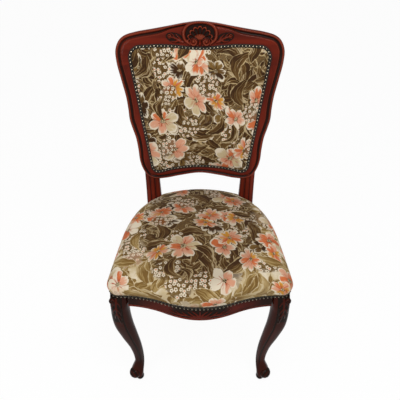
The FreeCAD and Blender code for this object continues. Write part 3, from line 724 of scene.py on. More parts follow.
class Print:
    """The cloth's printed pattern, drawn layer over layer on flat cloth coordinates."""

    def __init__(self, bench, colours):
        self.bench = bench
        self.colours = colours
        self.flat = flat = bench.add("ShaderNodeUVMap", {"uv_map": "cloth"}).outputs[0]
        drift = bench.noise_node(flat, 42.0, 2.0, 0.5).outputs["Color"]
        drift = bench.vector("SUBTRACT", drift, (0.5, 0.5, 0.5))
        self.at = bench.vector("ADD", flat, bench.scaled(drift, 0.010))
        self.brush = bench.noise(flat, 260.0, 3.0, 0.6)
        self.wash = bench.noise(flat, 22.0, 3.0, 0.55)
        self.deep = (self.shade_at(flat) + (self.wash - 0.5) * 0.7).rises(0.05, 0.65)
        self.dark = bench.mix(self.deep, colours.leaf_olive, colours.leaf_dark)
        self.light = bench.mix(self.deep, colours.cloth_sand, colours.leaf_brown)
        self.edge = bench.mix(self.deep * 0.5, colours.cloth_cream, colours.cloth_sand)
        self.picture = None

    def shade_at(self, place):
        """1 in the dark middle of the seat and nearly so on the back, 0 on the pale border."""
        u, v, _ = self.bench.split(place)
        ahead = v + 0.02
        seat = ((u * u * 1.2 + ahead * ahead * 0.6) ** 0.5).falls(0.14, 0.23)
        return seat.math("MAXIMUM", v.rises(0.3, 0.4) * 0.85)

    def strokes(self, along, across, seed):
        """Brush marks that run along a motif."""
        at = self.bench.add("ShaderNodeCombineXYZ", None,
                            {"X": along * 30.0, "Y": across * 300.0, "Z": seed * 17.0})
        return self.bench.noise(at.outputs[0], 1.0, 2.0, 0.5)

    def cells(self, size, shift, randomness):
        """Scattered motif places: local coordinates turned at random, three random numbers, the shade."""
        bench = self.bench
        moved = bench.vector("ADD", bench.scaled(self.at, 1 / size), shift)
        spots = bench.add("ShaderNodeTexVoronoi", {"voronoi_dimensions": "2D"},
                          {"Vector": moved, "Scale": 1.0, "Randomness": randomness})
        away = bench.scaled(bench.vector("SUBTRACT", moved, spots.outputs["Position"]), size)
        x, y, _ = bench.split(away)
        one, two, three = bench.split(spots.outputs["Color"])
        turn = one * math.tau
        c, s = turn.math("COSINE"), turn.math("SINE")
        home = bench.scaled(bench.vector("SUBTRACT", spots.outputs["Position"], shift), size)
        return x * c + y * s, y * c - x * s, one, two, three, self.shade_at(home)

    def paint(self, mask, dye):
        self.picture = self.bench.mix(mask, self.picture, dye)

    def ground(self):
        c = self.colours
        pale = self.bench.mix(self.wash.rises(0.35, 0.65), c.cloth_white, c.cloth_cream)
        brown = self.bench.mix(self.brush.rises(0.3, 0.7), c.leaf_dark, c.leaf_olive)
        self.picture = self.bench.mix(self.deep * 0.96 + self.brush.rises(0.5, 0.75) * 0.2, pale, brown)

    def leaves(self, size, shift, length, width, presence):
        """Curved leaves with a pale edge, brushed from dark to light."""
        x, y, one, two, three, _ = self.cells(size, shift, 0.85)
        y = y + (x * x) * ((two - 0.5) * (1.9 / length))
        mark = self.strokes(x, y, one)
        along = x / length
        half = width * (1 - along * along) * (1.1 - along * 0.45) + (mark - 0.5) * 0.010
        inside = half - abs(y)
        shown = three.below(presence)
        self.paint(inside.rises(-0.0020, -0.0011) * shown, self.edge)
        across = y / width
        tone = (mark - 0.5) * 2.8 + along * 0.3 + across * 0.35 + 0.4
        leaf = self.bench.mix(tone.rises(0.1, 0.8), self.dark, self.light)
        pale = (tone + two * 0.3).rises(0.95, 1.2) * 0.8
        leaf = self.bench.mix(pale, leaf, self.colours.cloth_cream)
        leaf = self.bench.mix(abs(y).falls(0.0002, 0.0009) * 0.6, leaf, self.colours.cloth_sand)
        self.paint(inside.rises(-0.0004, 0.0006) * shown, leaf)

    def blossoms(self, size, shift, radius, petals, hues, presence, in_shade):
        """Open blossoms, each petal with its own length and hue, brushed towards a pale tip."""
        heart, first, second, third = hues
        c = self.colours
        x, y, one, two, three, shade = self.cells(size, shift, 0.75)
        presence = shade * (in_shade - presence) + presence
        y = y * (1 + two * 0.6)
        reach = (x * x + y * y) ** 0.5
        around = self.bench.math("ARCTAN2", y, x) * (petals / math.tau)
        petal = around.math("FLOOR")
        within = (around - petal) * 2 - 1
        luck = ((petal * 12.99 + one * 78.2).math("SINE") * 4375.85).math("FRACT")
        mark = self.strokes(reach, around * 0.012, one)
        lobe = 1 - within * within
        edge = radius * (0.7 + luck * 0.35) * (0.45 + 0.55 * lobe**0.5) + (mark - 0.5) * 0.016
        out = reach / edge
        shown = three.below(presence)
        self.paint(out.falls(1.05, 1.10) * shown, c.cloth_white)
        fade = out + (mark - 0.5) * 2.2
        body = self.bench.mix(luck.rises(0.36, 0.4), first, second)
        body = self.bench.mix(luck.rises(0.7, 0.74), body, third)
        body = self.bench.mix(fade.rises(0.05, 0.45), heart, body)
        body = self.bench.mix(fade.rises(0.7, 1.2), body, c.cloth_white)
        body = self.bench.mix(lobe.falls(0.02, 0.3) * 0.7, body, heart)
        body = self.bench.mix(mark.rises(0.6, 0.7) * out.falls(0.5, 0.9) * 0.7, body, heart)
        self.paint(out.falls(0.96, 1.0) * shown, body)
        seeds = self.bench.noise(self.at, 420.0, 1.0)
        eye = self.bench.mix(seeds.rises(0.46, 0.56), c.leaf_dark, c.cloth_cream)
        self.paint((reach / radius + (mark - 0.5) * 0.2).falls(0.12, 0.2) * shown, eye)

    def sprays(self, size, shift, patch, patch_shift, spread, presence):
        """Clusters of small white five-petalled flowers on dark ground."""
        px, py, _, _, three, _ = self.cells(patch, patch_shift, 0.8)
        around = (px * px + py * py * 1.6) ** 0.5
        cluster = (around + (self.wash - 0.5) * 0.03).falls(spread, spread * 1.2)
        cluster = cluster * three.below(presence)
        x, y, _, two, _, _ = self.cells(size, shift, 0.7)
        reach = (x * x + y * y) ** 0.5
        turn = self.bench.math("ARCTAN2", y, x)
        lobe = abs((turn * 2.5).math("COSINE"))
        edge = size * 0.43 * (0.66 + 0.34 * lobe)
        out = reach / edge
        ground = self.bench.mix(self.brush, self.colours.leaf_dark, self.colours.leaf_olive)
        self.paint(cluster * 0.75, ground)
        self.paint(cluster * out.falls(0.86, 1.0), self.colours.cloth_white)
        heart = self.bench.mix(two.rises(0.4, 0.6), self.colours.blossom_orange, self.colours.leaf_olive)
        self.paint(cluster * out.falls(0.3, 0.42), heart)


def floral_cloth():
    return kept("printed_velour", make_floral)


def make_floral(name):
    """Velour with a traditional print of leaves, open blossoms and sprays of small flowers."""
    c = bpy.context.scene.chair_finish
    bench = Bench(name)
    cloth = Print(bench, c)
    cloth.ground()
    warm = (c.blossom_rust, c.blossom_orange, c.blossom_pink, c.cloth_cream)
    rosy = (c.blossom_rust, c.blossom_pink, c.cloth_white, c.blossom_orange)
    gold = (c.blossom_rust, c.blossom_ochre, c.blossom_orange, c.blossom_pink)
    dusk = (c.leaf_dark, c.leaf_brown, c.leaf_dark, c.leaf_olive)
    cloth.leaves(0.034, (3.1, 0.4, 0.0), 0.024, 0.0085, 1.0)
    cloth.leaves(0.052, (4.7, 6.1, 0.0), 0.036, 0.0125, 0.9)
    cloth.leaves(0.071, (0.3, 7.7, 0.0), 0.048, 0.0165, 0.9)
    cloth.leaves(0.046, (9.3, 2.8, 0.0), 0.026, 0.0075, 0.6)
    cloth.sprays(0.0135, (0.2, 0.1, 0.0), 0.105, (5.3, 2.2, 0.0), 0.034, 0.6)
    cloth.blossoms(0.110, (7.9, 0.6, 0.0), 0.042, 6, dusk, 0.3, 0.75)
    cloth.leaves(0.088, (8.4, 1.9, 0.0), 0.052, 0.016, 0.55)
    cloth.blossoms(0.122, (1.7, 4.2, 0.0), 0.051, 6, warm, 0.62, 0.54)
    cloth.blossoms(0.108, (6.6, 3.4, 0.0), 0.043, 5, rosy, 0.7, 0.25)
    cloth.blossoms(0.104, (2.2, 9.1, 0.0), 0.040, 9, gold, 0.5, 0.46)
    cloth.sprays(0.0120, (3.2, 7.1, 0.0), 0.128, (8.3, 6.2, 0.0), 0.030, 0.45)
    cloth.leaves(0.101, (5.5, 5.2, 0.0), 0.040, 0.012, 0.4)
    pile = bench.noise(cloth.flat, 1500.0, 2.0, 0.6)
    worn = bench.noise(cloth.flat, 9.0, 2.0, 0.5)
    _, v, _ = bench.split(cloth.flat)
    # The seat's middle is painted darker than the same print on the back: painted shade
    middle = cloth.deep * v.falls(0.3, 0.4) * 0.22
    dimmed = (pile - 0.5) * 0.3 + (worn - 0.5) * 0.25 + 0.08 + middle
    body = bench.mix(dimmed, cloth.picture, c.leaf_dark)
    nap = {"Sheen Weight": 0.04, "Sheen Roughness": 0.4, "Specular IOR Level": 0.1}
    return bench.finish(body, nap, 0.78 + pile * 0.15, pile, 0.35, 0.0008)


# Settings

def colour(name, description, default):
    return FloatVectorProperty(name=name, description=description, subtype="COLOR", size=3, min=0.0, max=1.0,
                               default=default)


def length(name, description, millimetres):
    return FloatProperty(name=name, description=description, unit="LENGTH", default=millimetres * MM)


def power(name, description, watts):
    return FloatProperty(name=name, description=description, unit="POWER", default=watts)


class ChairShape(bpy.types.PropertyGroup):
    """Sizes of the carving, the nails and the stuffing."""
    groove_depth: length("Groove depth", "Depth of the groove round the back frame", 4.6)
    reed_depth: length("Reed depth", "Depth of the cuts between the reeds on the rear posts", 1.7)
    relief: length("Relief", "Height of the carved shell above the crest", 6.4)
    apron_relief: length("Apron relief", "Height of the carved leaves on the apron", 2.4)
    nail_diameter: length("Nail diameter", "Width of a decorative nail's head", 8.8)
    nail_height: length("Nail height", "How far a nail's head stands proud", 4.0)
    nail_pitch: length("Nail pitch", "Distance from nail to nail", 10.4)
    seat_swell: length("Seat swell", "Furthest that the stuffing pushes the seat cover", 9.0)
    back_swell: length("Back swell", "Furthest that the stuffing pushes the back cover", 5.0)
    swell_steps: IntProperty(name="Swell steps", description="Steps of the cloth simulation", default=20,
                             min=1)


class ChairFinish(bpy.types.PropertyGroup):
    """Colours of the wood, the cloth and the metal."""
    wood_red: colour("Wood", "Polished wood in the light", (0.138, 0.0135, 0.0055))
    wood_deep: colour("Wood grain", "Darker streaks of the wood", (0.060, 0.0072, 0.0036))
    # Painted highlight on the edges, beads and carved tops
    wood_painted_highlight: colour("Worn wood", "Polish worn thin on the edges", (0.25, 0.056, 0.025))
    # Painted shade in the recesses and on the parts that fall in shade
    wood_painted_shade: colour("Glaze", "Dark glaze left in the recesses", (0.0105, 0.0048, 0.003))
    block_wood: colour("Block wood", "Plain wood of the corner blocks", (0.45, 0.30, 0.17))
    # Painted highlight on the nails' tops
    nail_highlight: colour("Nail top", "Worn metal on the nails' tops", (0.58, 0.50, 0.36))
    nail_rim: colour("Nail rim", "Aged metal round the nails' rims", (0.035, 0.028, 0.02))
    braid: colour("Braid", "Braid under the nails", (0.022, 0.018, 0.014))
    cloth_cream: colour("Cream", "Ground and outlines of the print", (0.50, 0.395, 0.23))
    cloth_sand: colour("Sand", "Paler leaves", (0.33, 0.225, 0.085))
    cloth_white: colour("White", "Palest petals and ground", (0.65, 0.565, 0.43))
    leaf_dark: colour("Dark leaf", "Darkest leaves", (0.038, 0.0165, 0.0055))
    leaf_brown: colour("Brown leaf", "Paler side of the dark leaves", (0.112, 0.058, 0.017))
    leaf_olive: colour("Olive leaf", "Middle leaves", (0.165, 0.092, 0.025))
    blossom_orange: colour("Orange", "Orange petals", (0.52, 0.135, 0.045))
    blossom_rust: colour("Rust", "Hearts of the orange petals", (0.36, 0.075, 0.032))
    blossom_pink: colour("Peach", "Peach petals", (0.58, 0.28, 0.17))
    blossom_ochre: colour("Ochre", "Yellow petals", (0.52, 0.24, 0.03))
    lining: colour("Lining", "Dust cloth under the seat", (0.035, 0.03, 0.03))
    jute: colour("Jute", "Webbing and burlap", (0.42, 0.31, 0.18))


class ChairStudio(bpy.types.PropertyGroup):
    """Floor, light and camera."""
    floor: colour("Floor", "Colour of the floor", (0.9, 0.9, 0.9))
    key_power: power("Key light", "Power of the large light above", 31.0)
    fill_power: power("Fill light", "Power of the light beside the camera", 12.0)
    glint_power: power("Glints", "Power of each small light for the highlights", 3.0)
    sky: FloatProperty(name="Room light", description="Strength of the light from all round", default=0.55)
    lens: FloatProperty(name="Lens", description="Focal length of the camera", subtype="DISTANCE_CAMERA",
                        default=38.7)


# Pieces

def groove_reach(p):
    """How far in the groove lies: nearer to the edge beside the shell and on the lower rail."""
    crest = smoothstep(925.0, 945.0, p.y) * (1 - smoothstep(80.0, 128.0, abs(p.x)))
    return (1 - 0.4 * crest) * (0.8 + 0.2 * smoothstep(560.0, 640.0, p.y))


def ring_section(edge, inward, nail, away, deep):
    """One cut through the back frame: points of (across, up, depth) with their painted light."""
    # The third number of each point is its painted light: painted shade in the groove and the rebate, below 0
    # a painted highlight on the beads
    outer = ((4.0, BACK_THICK, 0.2), (1.2, 24.8, 0.2), (0.0, 22.0, 0.2), (0.0, 9.5, 0.1), (0.8, 5.4, 0.0))
    face = ((2.6, 2.0, -0.1), (5.0, 0.4, -0.4), (7.0, 0.5, -0.2), (8.6, 1.6, 0.5), (10.2, deep * 0.8, 0.9),
            (12.6, deep, 0.9), (15.2, deep * 0.8, 0.7), (17.0, deep * 0.4, 0.3), (18.4, 0.9, -0.3),
            (20.4, 0.2, 0.0))
    reach = groove_reach(edge)
    made = [(edge + inward * inset, depth, g) for inset, depth, g in outer]
    made += [(edge + inward * (inset * reach), depth, g) for inset, depth, g in face]
    field = made[-1][0]
    rim = nail + away * RIM_GROW
    for share, depth in ((0.3, 0.25), (0.65, 0.4)):
        made.append((field.lerp(rim, share), depth, 0.0))
    rebate = ((RIM_GROW, 0.5, 0.25), (3.0, 0.9, 0.7), (0.0, 1.8, 1.0), (-8.0, 2.4, 1.0), (-8.0, 19.5, 1.0),
              (RIM_GROW, 19.5, 0.8), (RIM_GROW, BACK_THICK, 0.3))
    for grow, depth, g in rebate:
        made.append((nail + away * grow, depth, g))
    return made


def ring_rows(deep):
    """Cuts all the way round the back frame, with the outline's own points."""
    loop, nails = back_loop(), panel_loop()
    fine = finer(nails + nails[:1], PANEL_SPLIT)
    outs = outward(fine)
    rows = []
    for p, out in zip(loop, outward(loop)):
        base = p - out * RING_MIDDLE_INSET
        best = min(range(len(fine)), key=lambda i: (fine[i] - base).length_squared)
        rows.append(ring_section(p, -out, fine[best], outs[best], deep))
    return loop, rows


def ring_part(rows, indices):
    """A stretch of the back frame, cut square at both ends with a hair's joint."""
    rings = [[on_back(p.x, p.y, depth) for p, depth, _ in rows[i]] for i in indices]
    glaze = [g for i in indices for _, _, g in rows[i]]
    for end, nearby in ((0, 1), (-1, -2)):
        rings[end] = [a.lerp(b, 0.02) for a, b in zip(rings[end], rings[nearby])]
    return (*loft(rings), glaze)


def right_post_shell(reed):
    """The post below the moulded frame: three reeds above the seat, a plain raked leg below."""
    rings, glaze = [], []
    heights = [0.0, 1.5] + [4.0 + k * (POST_TOP_Z - 4.0) / POST_ROWS for k in range(POST_ROWS + 1)]
    across = [k / POST_COLUMNS for k in range(POST_COLUMNS + 1)]
    for z in heights:
        inner, outer = value_at(POST_INNER, z), value_at(POST_OUTER, z)
        front, rear = post_front(z), value_at(POST_REAR, z) + max(z - POST_REAR_TOP, 0.0) * 0.2
        if z < 1.0:
            inner, outer, front, rear = inner + 1.5, outer - 1.5, front + 1.5, rear - 1.5
        width = outer - inner
        shown = smoothstep(330.0, 395.0, z)
        ring = []
        for t in across:
            bow = 1 - (1 - abs(2 * t - 1) ** 2.6) ** 0.5
            wave = abs(math.sin(REEDS * math.pi * t))
            cut = (1 - wave) ** 4 * (0.02 < t < 0.98)
            ring.append((inner + width * t, front + REED_BOW * bow + reed * cut * shown))
            # Painted shade in the cuts between the reeds, a painted highlight on their crests
            glaze.append(min(1.0, cut * shown + 0.12 - 0.3 * wave**8 * shown))
        rounding = ((0.0, -6.0), (0.0, -3.0), (1.0, -1.0), (3.0, 0.0))
        ring += [(outer - dx, rear + dy) for dx, dy in rounding]
        ring += [(inner + dx, rear + dy) for dx, dy in reversed(rounding)]
        glaze += [0.2] * (2 * len(rounding))
        rings.append([Vector((x, y, z)) * MM for x, y in ring])
    return (*loft(rings), glaze)


class CHAIR_OT_back_frame(bpy.types.Operator):
    """Makes the moulded back frame and the reeded rear posts"""
    bl_idname = "chair.back_frame"
    bl_label = "Back frame and posts"

    def execute(self, context):
        shape = context.scene.chair_shape
        loop, rows = ring_rows(shape.groove_depth / MM)
        spots = range(len(loop))
        rail = [i for i in spots if loop[i].y < LOWER_RAIL_TOP_H and abs(loop[i].x) <= LOWER_RAIL_HALF]
        half = RING_COUNT // 2
        rail = [i for i in rail if i > half] + [i for i in rail if i <= half]
        crest = [i for i in spots if loop[i].y >= CREST_JOINT_H]
        right = list(range(rail[-1], crest[0] + 1))
        left = list(range(crest[-1], rail[0] + 1))
        wooden("lower_back_rail_moulded", ring_part(rows, rail), wood("crest_wood"), ("lower_back_rail",))
        wooden("crest_rail_moulded", ring_part(rows, crest), wood("crest_wood"), ("crest_rail",))
        column = right_post_shell(shape.reed_depth / MM)
        for side, stretch, post in (("right", right, column), ("left", left, flipped(column))):
            wooden(side + "_back_post_moulded", joined(ring_part(rows, stretch), post), wood("post_wood"),
                   (side + "_back_post",))
        return {"FINISHED"}


SPRIG_STROKES = tuple((bent(path), wide, narrow) for path, wide, narrow in (
    (((50.0, 950.0), (60.0, 953.0), (70.0, 961.0), (86.0, 965.0)), 4.6, 2.6),
    (((56.0, 953.0), (62.0, 964.0), (72.0, 972.0)), 4.4, 1.2),
    (((64.0, 955.0), (72.0, 950.0), (83.0, 953.0)), 4.2, 1.2),
    (((74.0, 961.0), (78.0, 970.0), (86.0, 974.0)), 3.4, 1.2),
))


# The shell: its oval, its fan of ribs and its raised rim
SHELL_H, SHELL_HALF, SHELL_UP, SHELL_DOWN, SHELL_POWER, SHELL_INSIDE = 972.0, 54.0, 35.5, 34.0, 2.4, 42.0
FAN_H, FAN_REACH, FAN_TURN, RIB_TURN = 955.0, 41.0, 118.0, 23.6
RIM_WIDTH = 9.5
# Middle (across, up) and radius of the scrolls beside the shell's foot and of the sprigs' curls
SCROLL, CURL = (18.0, 951.5, 13.0), (89.0, 966.0, 6.8)
# Middle (up) and half sizes (across, up) of the shell's hub and of the drop under it
HUB_H, HUB_HALF, DROP_H, DROP_HALF = 963.0, (16.0, 9.0), 946.0, (4.6, 8.5)
# Middle (across, up), half sizes and tilt of a flat patch beside each sprig, painted dark: painted shade
SHADE_PATCH, SHADE_PATCH_HALF, SHADE_PATCH_TILT = (73.0, 962.0), (28.0, 15.0), 0.2
NO_CARVING, CARVED_FROM, RELIEF_SUNK = (-9.0, 1.0), -5.0, 7.0


def crest_relief(x, h, high):
    """Height of the crest's carving above its face, and its painted light there: painted shade in the
    hollows, below 0 a painted highlight on the ribs, rims and scrolls.
    """
    ax = abs(x)
    tall = SHELL_UP if h > SHELL_H else SHELL_DOWN
    oval = (ax / SHELL_HALF) ** SHELL_POWER + (abs(h - SHELL_H) / tall) ** SHELL_POWER
    inside = (1 - oval ** (1 / SHELL_POWER)) * SHELL_INSIDE
    if inside > 0:
        height, glaze = 0.5, 1.0
        reach = math.hypot(ax, h - FAN_H)
        fan = math.degrees(math.atan2(ax, h - FAN_H))
        if fan < FAN_TURN:
            across = abs(((fan + RIB_TURN / 2) % RIB_TURN) / (RIB_TURN / 2) - 1)
            edge = (FAN_REACH - 3.0 * (fan / FAN_TURN) ** 2) * (1 - 0.17 * across**2)
            if reach < edge:
                out = reach / edge
                lip = smoothstep(0.83, 0.9, out) * (1 - smoothstep(0.96, 1.0, out))
                proud = max(across**6, lip)
                height = 0.5 + high * (0.05 + 0.1 * out + 0.75 * proud)
                # Painted shade in the hollows between the ribs, a painted highlight on the ribs and the lip
                glaze = 1.4 * (1 - proud) ** 0.5 - 0.4
        hub = 1 - math.hypot(ax / HUB_HALF[0], (h - HUB_H) / HUB_HALF[1])
        if hub > 0:
            height = max(height, high * min(1.0, hub * 2.2))
            glaze = -0.3
        drop = 1 - math.hypot(x / DROP_HALF[0], (h - DROP_H) / DROP_HALF[1])
        if drop > 0:
            height = max(height, high * min(1.0, drop * 1.8))
            glaze = 0.15
        swelling = math.sin(math.pi * min(inside / RIM_WIDTH, 1.0))
        rim = swelling**0.6 * high * 1.05
        rim *= max(smoothstep(5.0, 13.0, ax), smoothstep(945.0, 960.0, h))
        if inside < RIM_WIDTH and rim > height:
            height, glaze = rim, 0.8 - 1.15 * swelling
        turn = scroll(ax - SCROLL[0], h - SCROLL[1], SCROLL[2], 1)
        if turn > 0:
            height = max(height, high * (0.3 + 0.95 * turn))
            glaze = (1.0 - turn) * 1.5 - 0.4
        return height, min(1.0, glaze)
    curl = scroll(ax - CURL[0], h - CURL[1], CURL[2], -1)
    height = max(math.sqrt(max(deepest(ax, h, SPRIG_STROKES), 0.0)) * 3.6 - 0.2, curl * 4.4)
    if height > 0.3:
        return height, max(-0.35, 0.7 - 0.28 * height)
    # A flat patch beside the sprigs, painted dark as painted shade
    aside = ax - SHADE_PATCH[0]
    above = h - SHADE_PATCH[1] - aside * SHADE_PATCH_TILT
    shade_patch = 1 - math.hypot(aside / SHADE_PATCH_HALF[0], above / SHADE_PATCH_HALF[1])
    if shade_patch > 0 and ax > 46.0:
        return 0.3, min(1.0, 0.4 + shade_patch * 5)
    return NO_CARVING


def relief_shell(width, low, high, step, height_at, place):
    """A carved patch as a closed solid: its face from a height rule, its rear flat and sunk."""
    columns, rows = int(round(2 * width / step)), int(round((high - low) / step))
    xs = [-width + 2 * width * k / columns for k in range(columns + 1)]
    hs = [low + (high - low) * k / rows for k in range(rows + 1)]
    field = [[height_at(x, h) for x in xs] for h in hs]
    cells = {}
    for r in range(rows):
        for k in range(columns):
            corners = (field[r][k][0], field[r][k + 1][0], field[r + 1][k][0], field[r + 1][k + 1][0])
            if min(corners) > CARVED_FROM:
                cells[r, k] = True
    index, verts, glaze, faces = {}, [], [], []

    def vertex(r, k, rear):
        key = (r, k, rear)
        if key not in index:
            index[key] = len(verts)
            height, g = field[r][k]
            verts.append(place(xs[k], hs[r], RELIEF_SUNK if rear else -height))
            # The rear and the sides take full painted shade
            glaze.append(1.0 if rear else g)
        return index[key]
    for r, k in cells:
        corners = ((r, k), (r, k + 1), (r + 1, k + 1), (r + 1, k))
        faces.append(tuple(vertex(*c, False) for c in corners))
        faces.append(tuple(vertex(*c, True) for c in reversed(corners)))
        sides = ((0, 1, (r - 1, k)), (1, 2, (r, k + 1)), (2, 3, (r + 1, k)), (3, 0, (r, k - 1)))
        for a, b, other in sides:
            if other not in cells:
                faces.append((vertex(*corners[a], True), vertex(*corners[b], True),
                              vertex(*corners[b], False), vertex(*corners[a], False)))
    return verts, faces, glaze


class CHAIR_OT_crest_carving(bpy.types.Operator):
    """Carves the shell, its scrolls and the leaf sprigs on the crest"""
    bl_idname = "chair.crest_carving"
    bl_label = "Crest carving"

    def execute(self, context):
        high = context.scene.chair_shape.relief / MM
        shell = relief_shell(100.0, 934.0, 1008.0, 0.8, lambda x, h: crest_relief(x, h, high), on_back)
        wooden("crest_shell_carving", shell, wood("crest_wood"), (), 60.0)
        return {"FINISHED"}


KNEE_STROKES = tuple((bent(path), wide, narrow) for path, wide, narrow in (
    (((30.0, 396.0), (32.0, 365.0), (30.0, 335.0), (24.0, 300.0)), 5.0, 1.5),
    (((30.0, 386.0), (41.0, 378.0), (46.0, 362.0)), 5.0, 1.5),
    (((31.0, 366.0), (40.0, 356.0), (43.0, 340.0)), 4.6, 1.4),
    (((30.0, 346.0), (36.0, 336.0), (37.0, 322.0)), 3.8, 1.2),
    (((30.0, 386.0), (21.0, 376.0), (18.0, 360.0)), 4.6, 1.4),
    (((31.0, 362.0), (23.0, 350.0), (21.0, 336.0)), 4.2, 1.3),
    (((29.0, 338.0), (23.0, 328.0), (22.0, 316.0)), 3.4, 1.1),
))


LEG_LOW, LEG_ROWS, LEG_COLUMNS = 26.0, 150, 112
TOE_FLARE, BEVEL_SHARE, BEVEL_DEEP, LINE_WIDE, LINE_DEEP, KNEE_RELIEF = 13.0, 0.34, 7.0, 1.7, 2.4, 3.0
BLOCK_HEIGHTS, BLOCK_SHARE = (401.6, 426.0), 0.85


def right_leg_shell():
    """Cabriole leg with a bevelled inner face, a cut line beside it and a leaf on the knee."""
    rings, glaze = [], []
    for z in [LEG_LOW + k * (STEP_Z - LEG_LOW) / LEG_ROWS for k in range(LEG_ROWS + 1)]:
        xi, xo = value_at(LEG_INNER, z), value_at(LEG_OUTER, z)
        yf, yr = value_at(LEG_FRONT, z), value_at(LEG_REAR, z)
        flare = 1 - smoothstep(34.0, 88.0, z)
        xo, yf = xo + TOE_FLARE * flare, yf - TOE_FLARE * flare
        width, deep = xo - xi, yr - yf
        power = 3.0 + 3.5 * smoothstep(340.0, 398.0, z)
        ring = []
        for k in range(LEG_COLUMNS):
            a = math.tau * k / LEG_COLUMNS
            c, s = math.cos(a), math.sin(a)
            r = (abs(c) ** power + abs(s) ** power) ** (-1 / power)
            x = (xi + xo) / 2 + width / 2 * c * r
            y = (yf + yr) / 2 + deep / 2 * s * r
            # g is each point's painted light: painted shade in the cut line, in and round the knee leaf, a
            # faint painted highlight on its raised strokes
            g = 0.1
            across = x - xi
            if s < -0.1:
                line_at = width * BEVEL_SHARE
                bevel = max(0.0, 1 - across / line_at)
                y += bevel * BEVEL_DEEP * smoothstep(30.0, 70.0, z)
                cut = math.exp(-((across - line_at) / LINE_WIDE) ** 2) * smoothstep(60.0, 110.0, z)
                y += LINE_DEEP * cut
                g = max(g, cut)
                face = deepest(across, z, KNEE_STROKES)
                if face > 0 and across > line_at + 2:
                    y -= KNEE_RELIEF * math.sqrt(face)
                    g = 0.12 + 0.8 * (1 - smoothstep(0.0, 0.45, face)) - 0.16 * smoothstep(0.6, 0.95, face)
                elif z > 305 and across > line_at + 2:
                    g = max(g, 0.45)
            ring.append(Vector((x, y, z)) * MM)
            glaze.append(g)
        rings.append(ring)
    middle = sum(rings[-1], Vector()) / LEG_COLUMNS
    block = [middle.lerp(p, BLOCK_SHARE) for p in rings[-1]]
    # The top block takes painted shade
    for z in BLOCK_HEIGHTS:
        rings.append([Vector((p.x, p.y, z * MM)) for p in block])
        glaze += [0.6] * LEG_COLUMNS
    toe = ball(TOE_CENTRE, TOE_RADIUS, Vector((0.75, -0.66, 0.0)), 2.2, 0.95)
    ear = ball(EAR_CENTRE, EAR_RADIUS, Vector((0.35, -0.93, 0.0)), 1.8, 0.9)
    return joined((*loft(rings), glaze), toe, ear, turned(PAD_CENTRE, PAD_PROFILE))


class CHAIR_OT_front_legs(bpy.types.Operator):
    """Shapes the two cabriole front legs"""
    bl_idname = "chair.front_legs"
    bl_label = "Front legs"

    def execute(self, context):
        leg = right_leg_shell()
        for side, shell in (("right", leg), ("left", flipped(leg))):
            wooden(side + "_front_leg_carved", shell, wood("leg_wood"), (side + "_front_leg",), 50.0)
        return {"FINISHED"}


APRON_STROKES = tuple((bent(path), wide, narrow) for path, wide, narrow in (
    (((0.0, 366.0), (0.0, 394.0)), 4.4, 1.6),
    (((2.0, 369.0), (9.0, 381.0), (20.0, 391.0)), 4.4, 1.3),
    (((5.0, 368.0), (20.0, 375.0), (31.0, 388.0)), 4.4, 1.3),
    (((12.0, 367.0), (32.0, 370.0), (46.0, 383.0)), 4.2, 1.2),
    (((36.0, 373.0), (52.0, 371.0), (64.0, 382.0)), 4.0, 1.2),
    (((46.0, 371.0), (62.0, 370.0), (82.0, 379.0)), 3.6, 1.0),
))
# How far the beads stand out, their height above the apron's lower edge, and their painted light: painted
# shade in the hollows, below 0 a painted highlight on the beads
APRON_BEADS = ((2.2, 8.6, 0.9), (3.6, 7.8, 0.1), (4.6, 6.6, -0.35), (4.2, 5.2, 0.2), (2.6, 4.6, 1.0),
               (3.9, 3.6, 0.0), (4.3, 2.2, -0.4), (3.2, 0.6, 0.0), (0.0, 0.0, 0.4))


class CHAIR_OT_front_apron(bpy.types.Operator):
    """Carves the serpentine front rail with its beads and leaves"""
    bl_idname = "chair.front_apron"
    bl_label = "Front apron"

    def execute(self, context):
        relief = context.scene.chair_shape.apron_relief / MM
        fine = finer(both_sides(seat_half(0.0)[:APRON_POINTS]), APRON_SPLIT)
        plan = [p for p in fine if abs(p.x) < LEG_INNER_X - 0.2]
        rings, glaze = [], []
        for p, out in zip(plan, open_normals(plan, 6)):
            low = apron_low(p.x)
            face_low = low + 9.5
            # The face just under the step takes painted shade
            rows = [(-RAIL_THICK, RAIL_TOP, 0.2), (-0.1, RAIL_TOP, 0.2), (-0.1, STEP_Z + 0.6, 0.8),
                    (STEP_PROUD - 0.8, STEP_Z, 0.3)]
            # Painted shade towards the apron's ends and round the carved leaves, lifted to a painted
            # highlight on the leaves' raised strokes
            end_shade = smoothstep(110.0, 190.0, abs(p.x)) * 0.45
            for k in range(APRON_ROWS):
                z = STEP_Z - 1.0 + (face_low - STEP_Z + 1.0) * k / (APRON_ROWS - 1)
                cut = deepest(abs(p.x), z - low + APRON_LOW, APRON_STROKES)
                raised = relief * math.sqrt(max(cut, 0.0))
                near = 1 - smoothstep(60.0, 92.0, abs(p.x))
                stroke_highlight = 0.5 * smoothstep(0.05, 0.4, cut) + 0.25 * smoothstep(0.5, 0.9, cut)
                rows.append((STEP_PROUD + raised, z, max(end_shade, near * (0.6 - stroke_highlight))))
            rows += [(grow, low + up, g) for grow, up, g in APRON_BEADS]
            rows.append((-RAIL_THICK, low, 0.4))
            rings.append([Vector((p.x + out.x * grow, p.y + out.y * grow, z)) * MM for grow, z, _ in rows])
            glaze += [g for _, _, g in rows]
        wooden("front_rail_carved", (*loft(rings), glaze), wood("apron_wood"), ("front_rail",), 45.0)
        return {"FINISHED"}


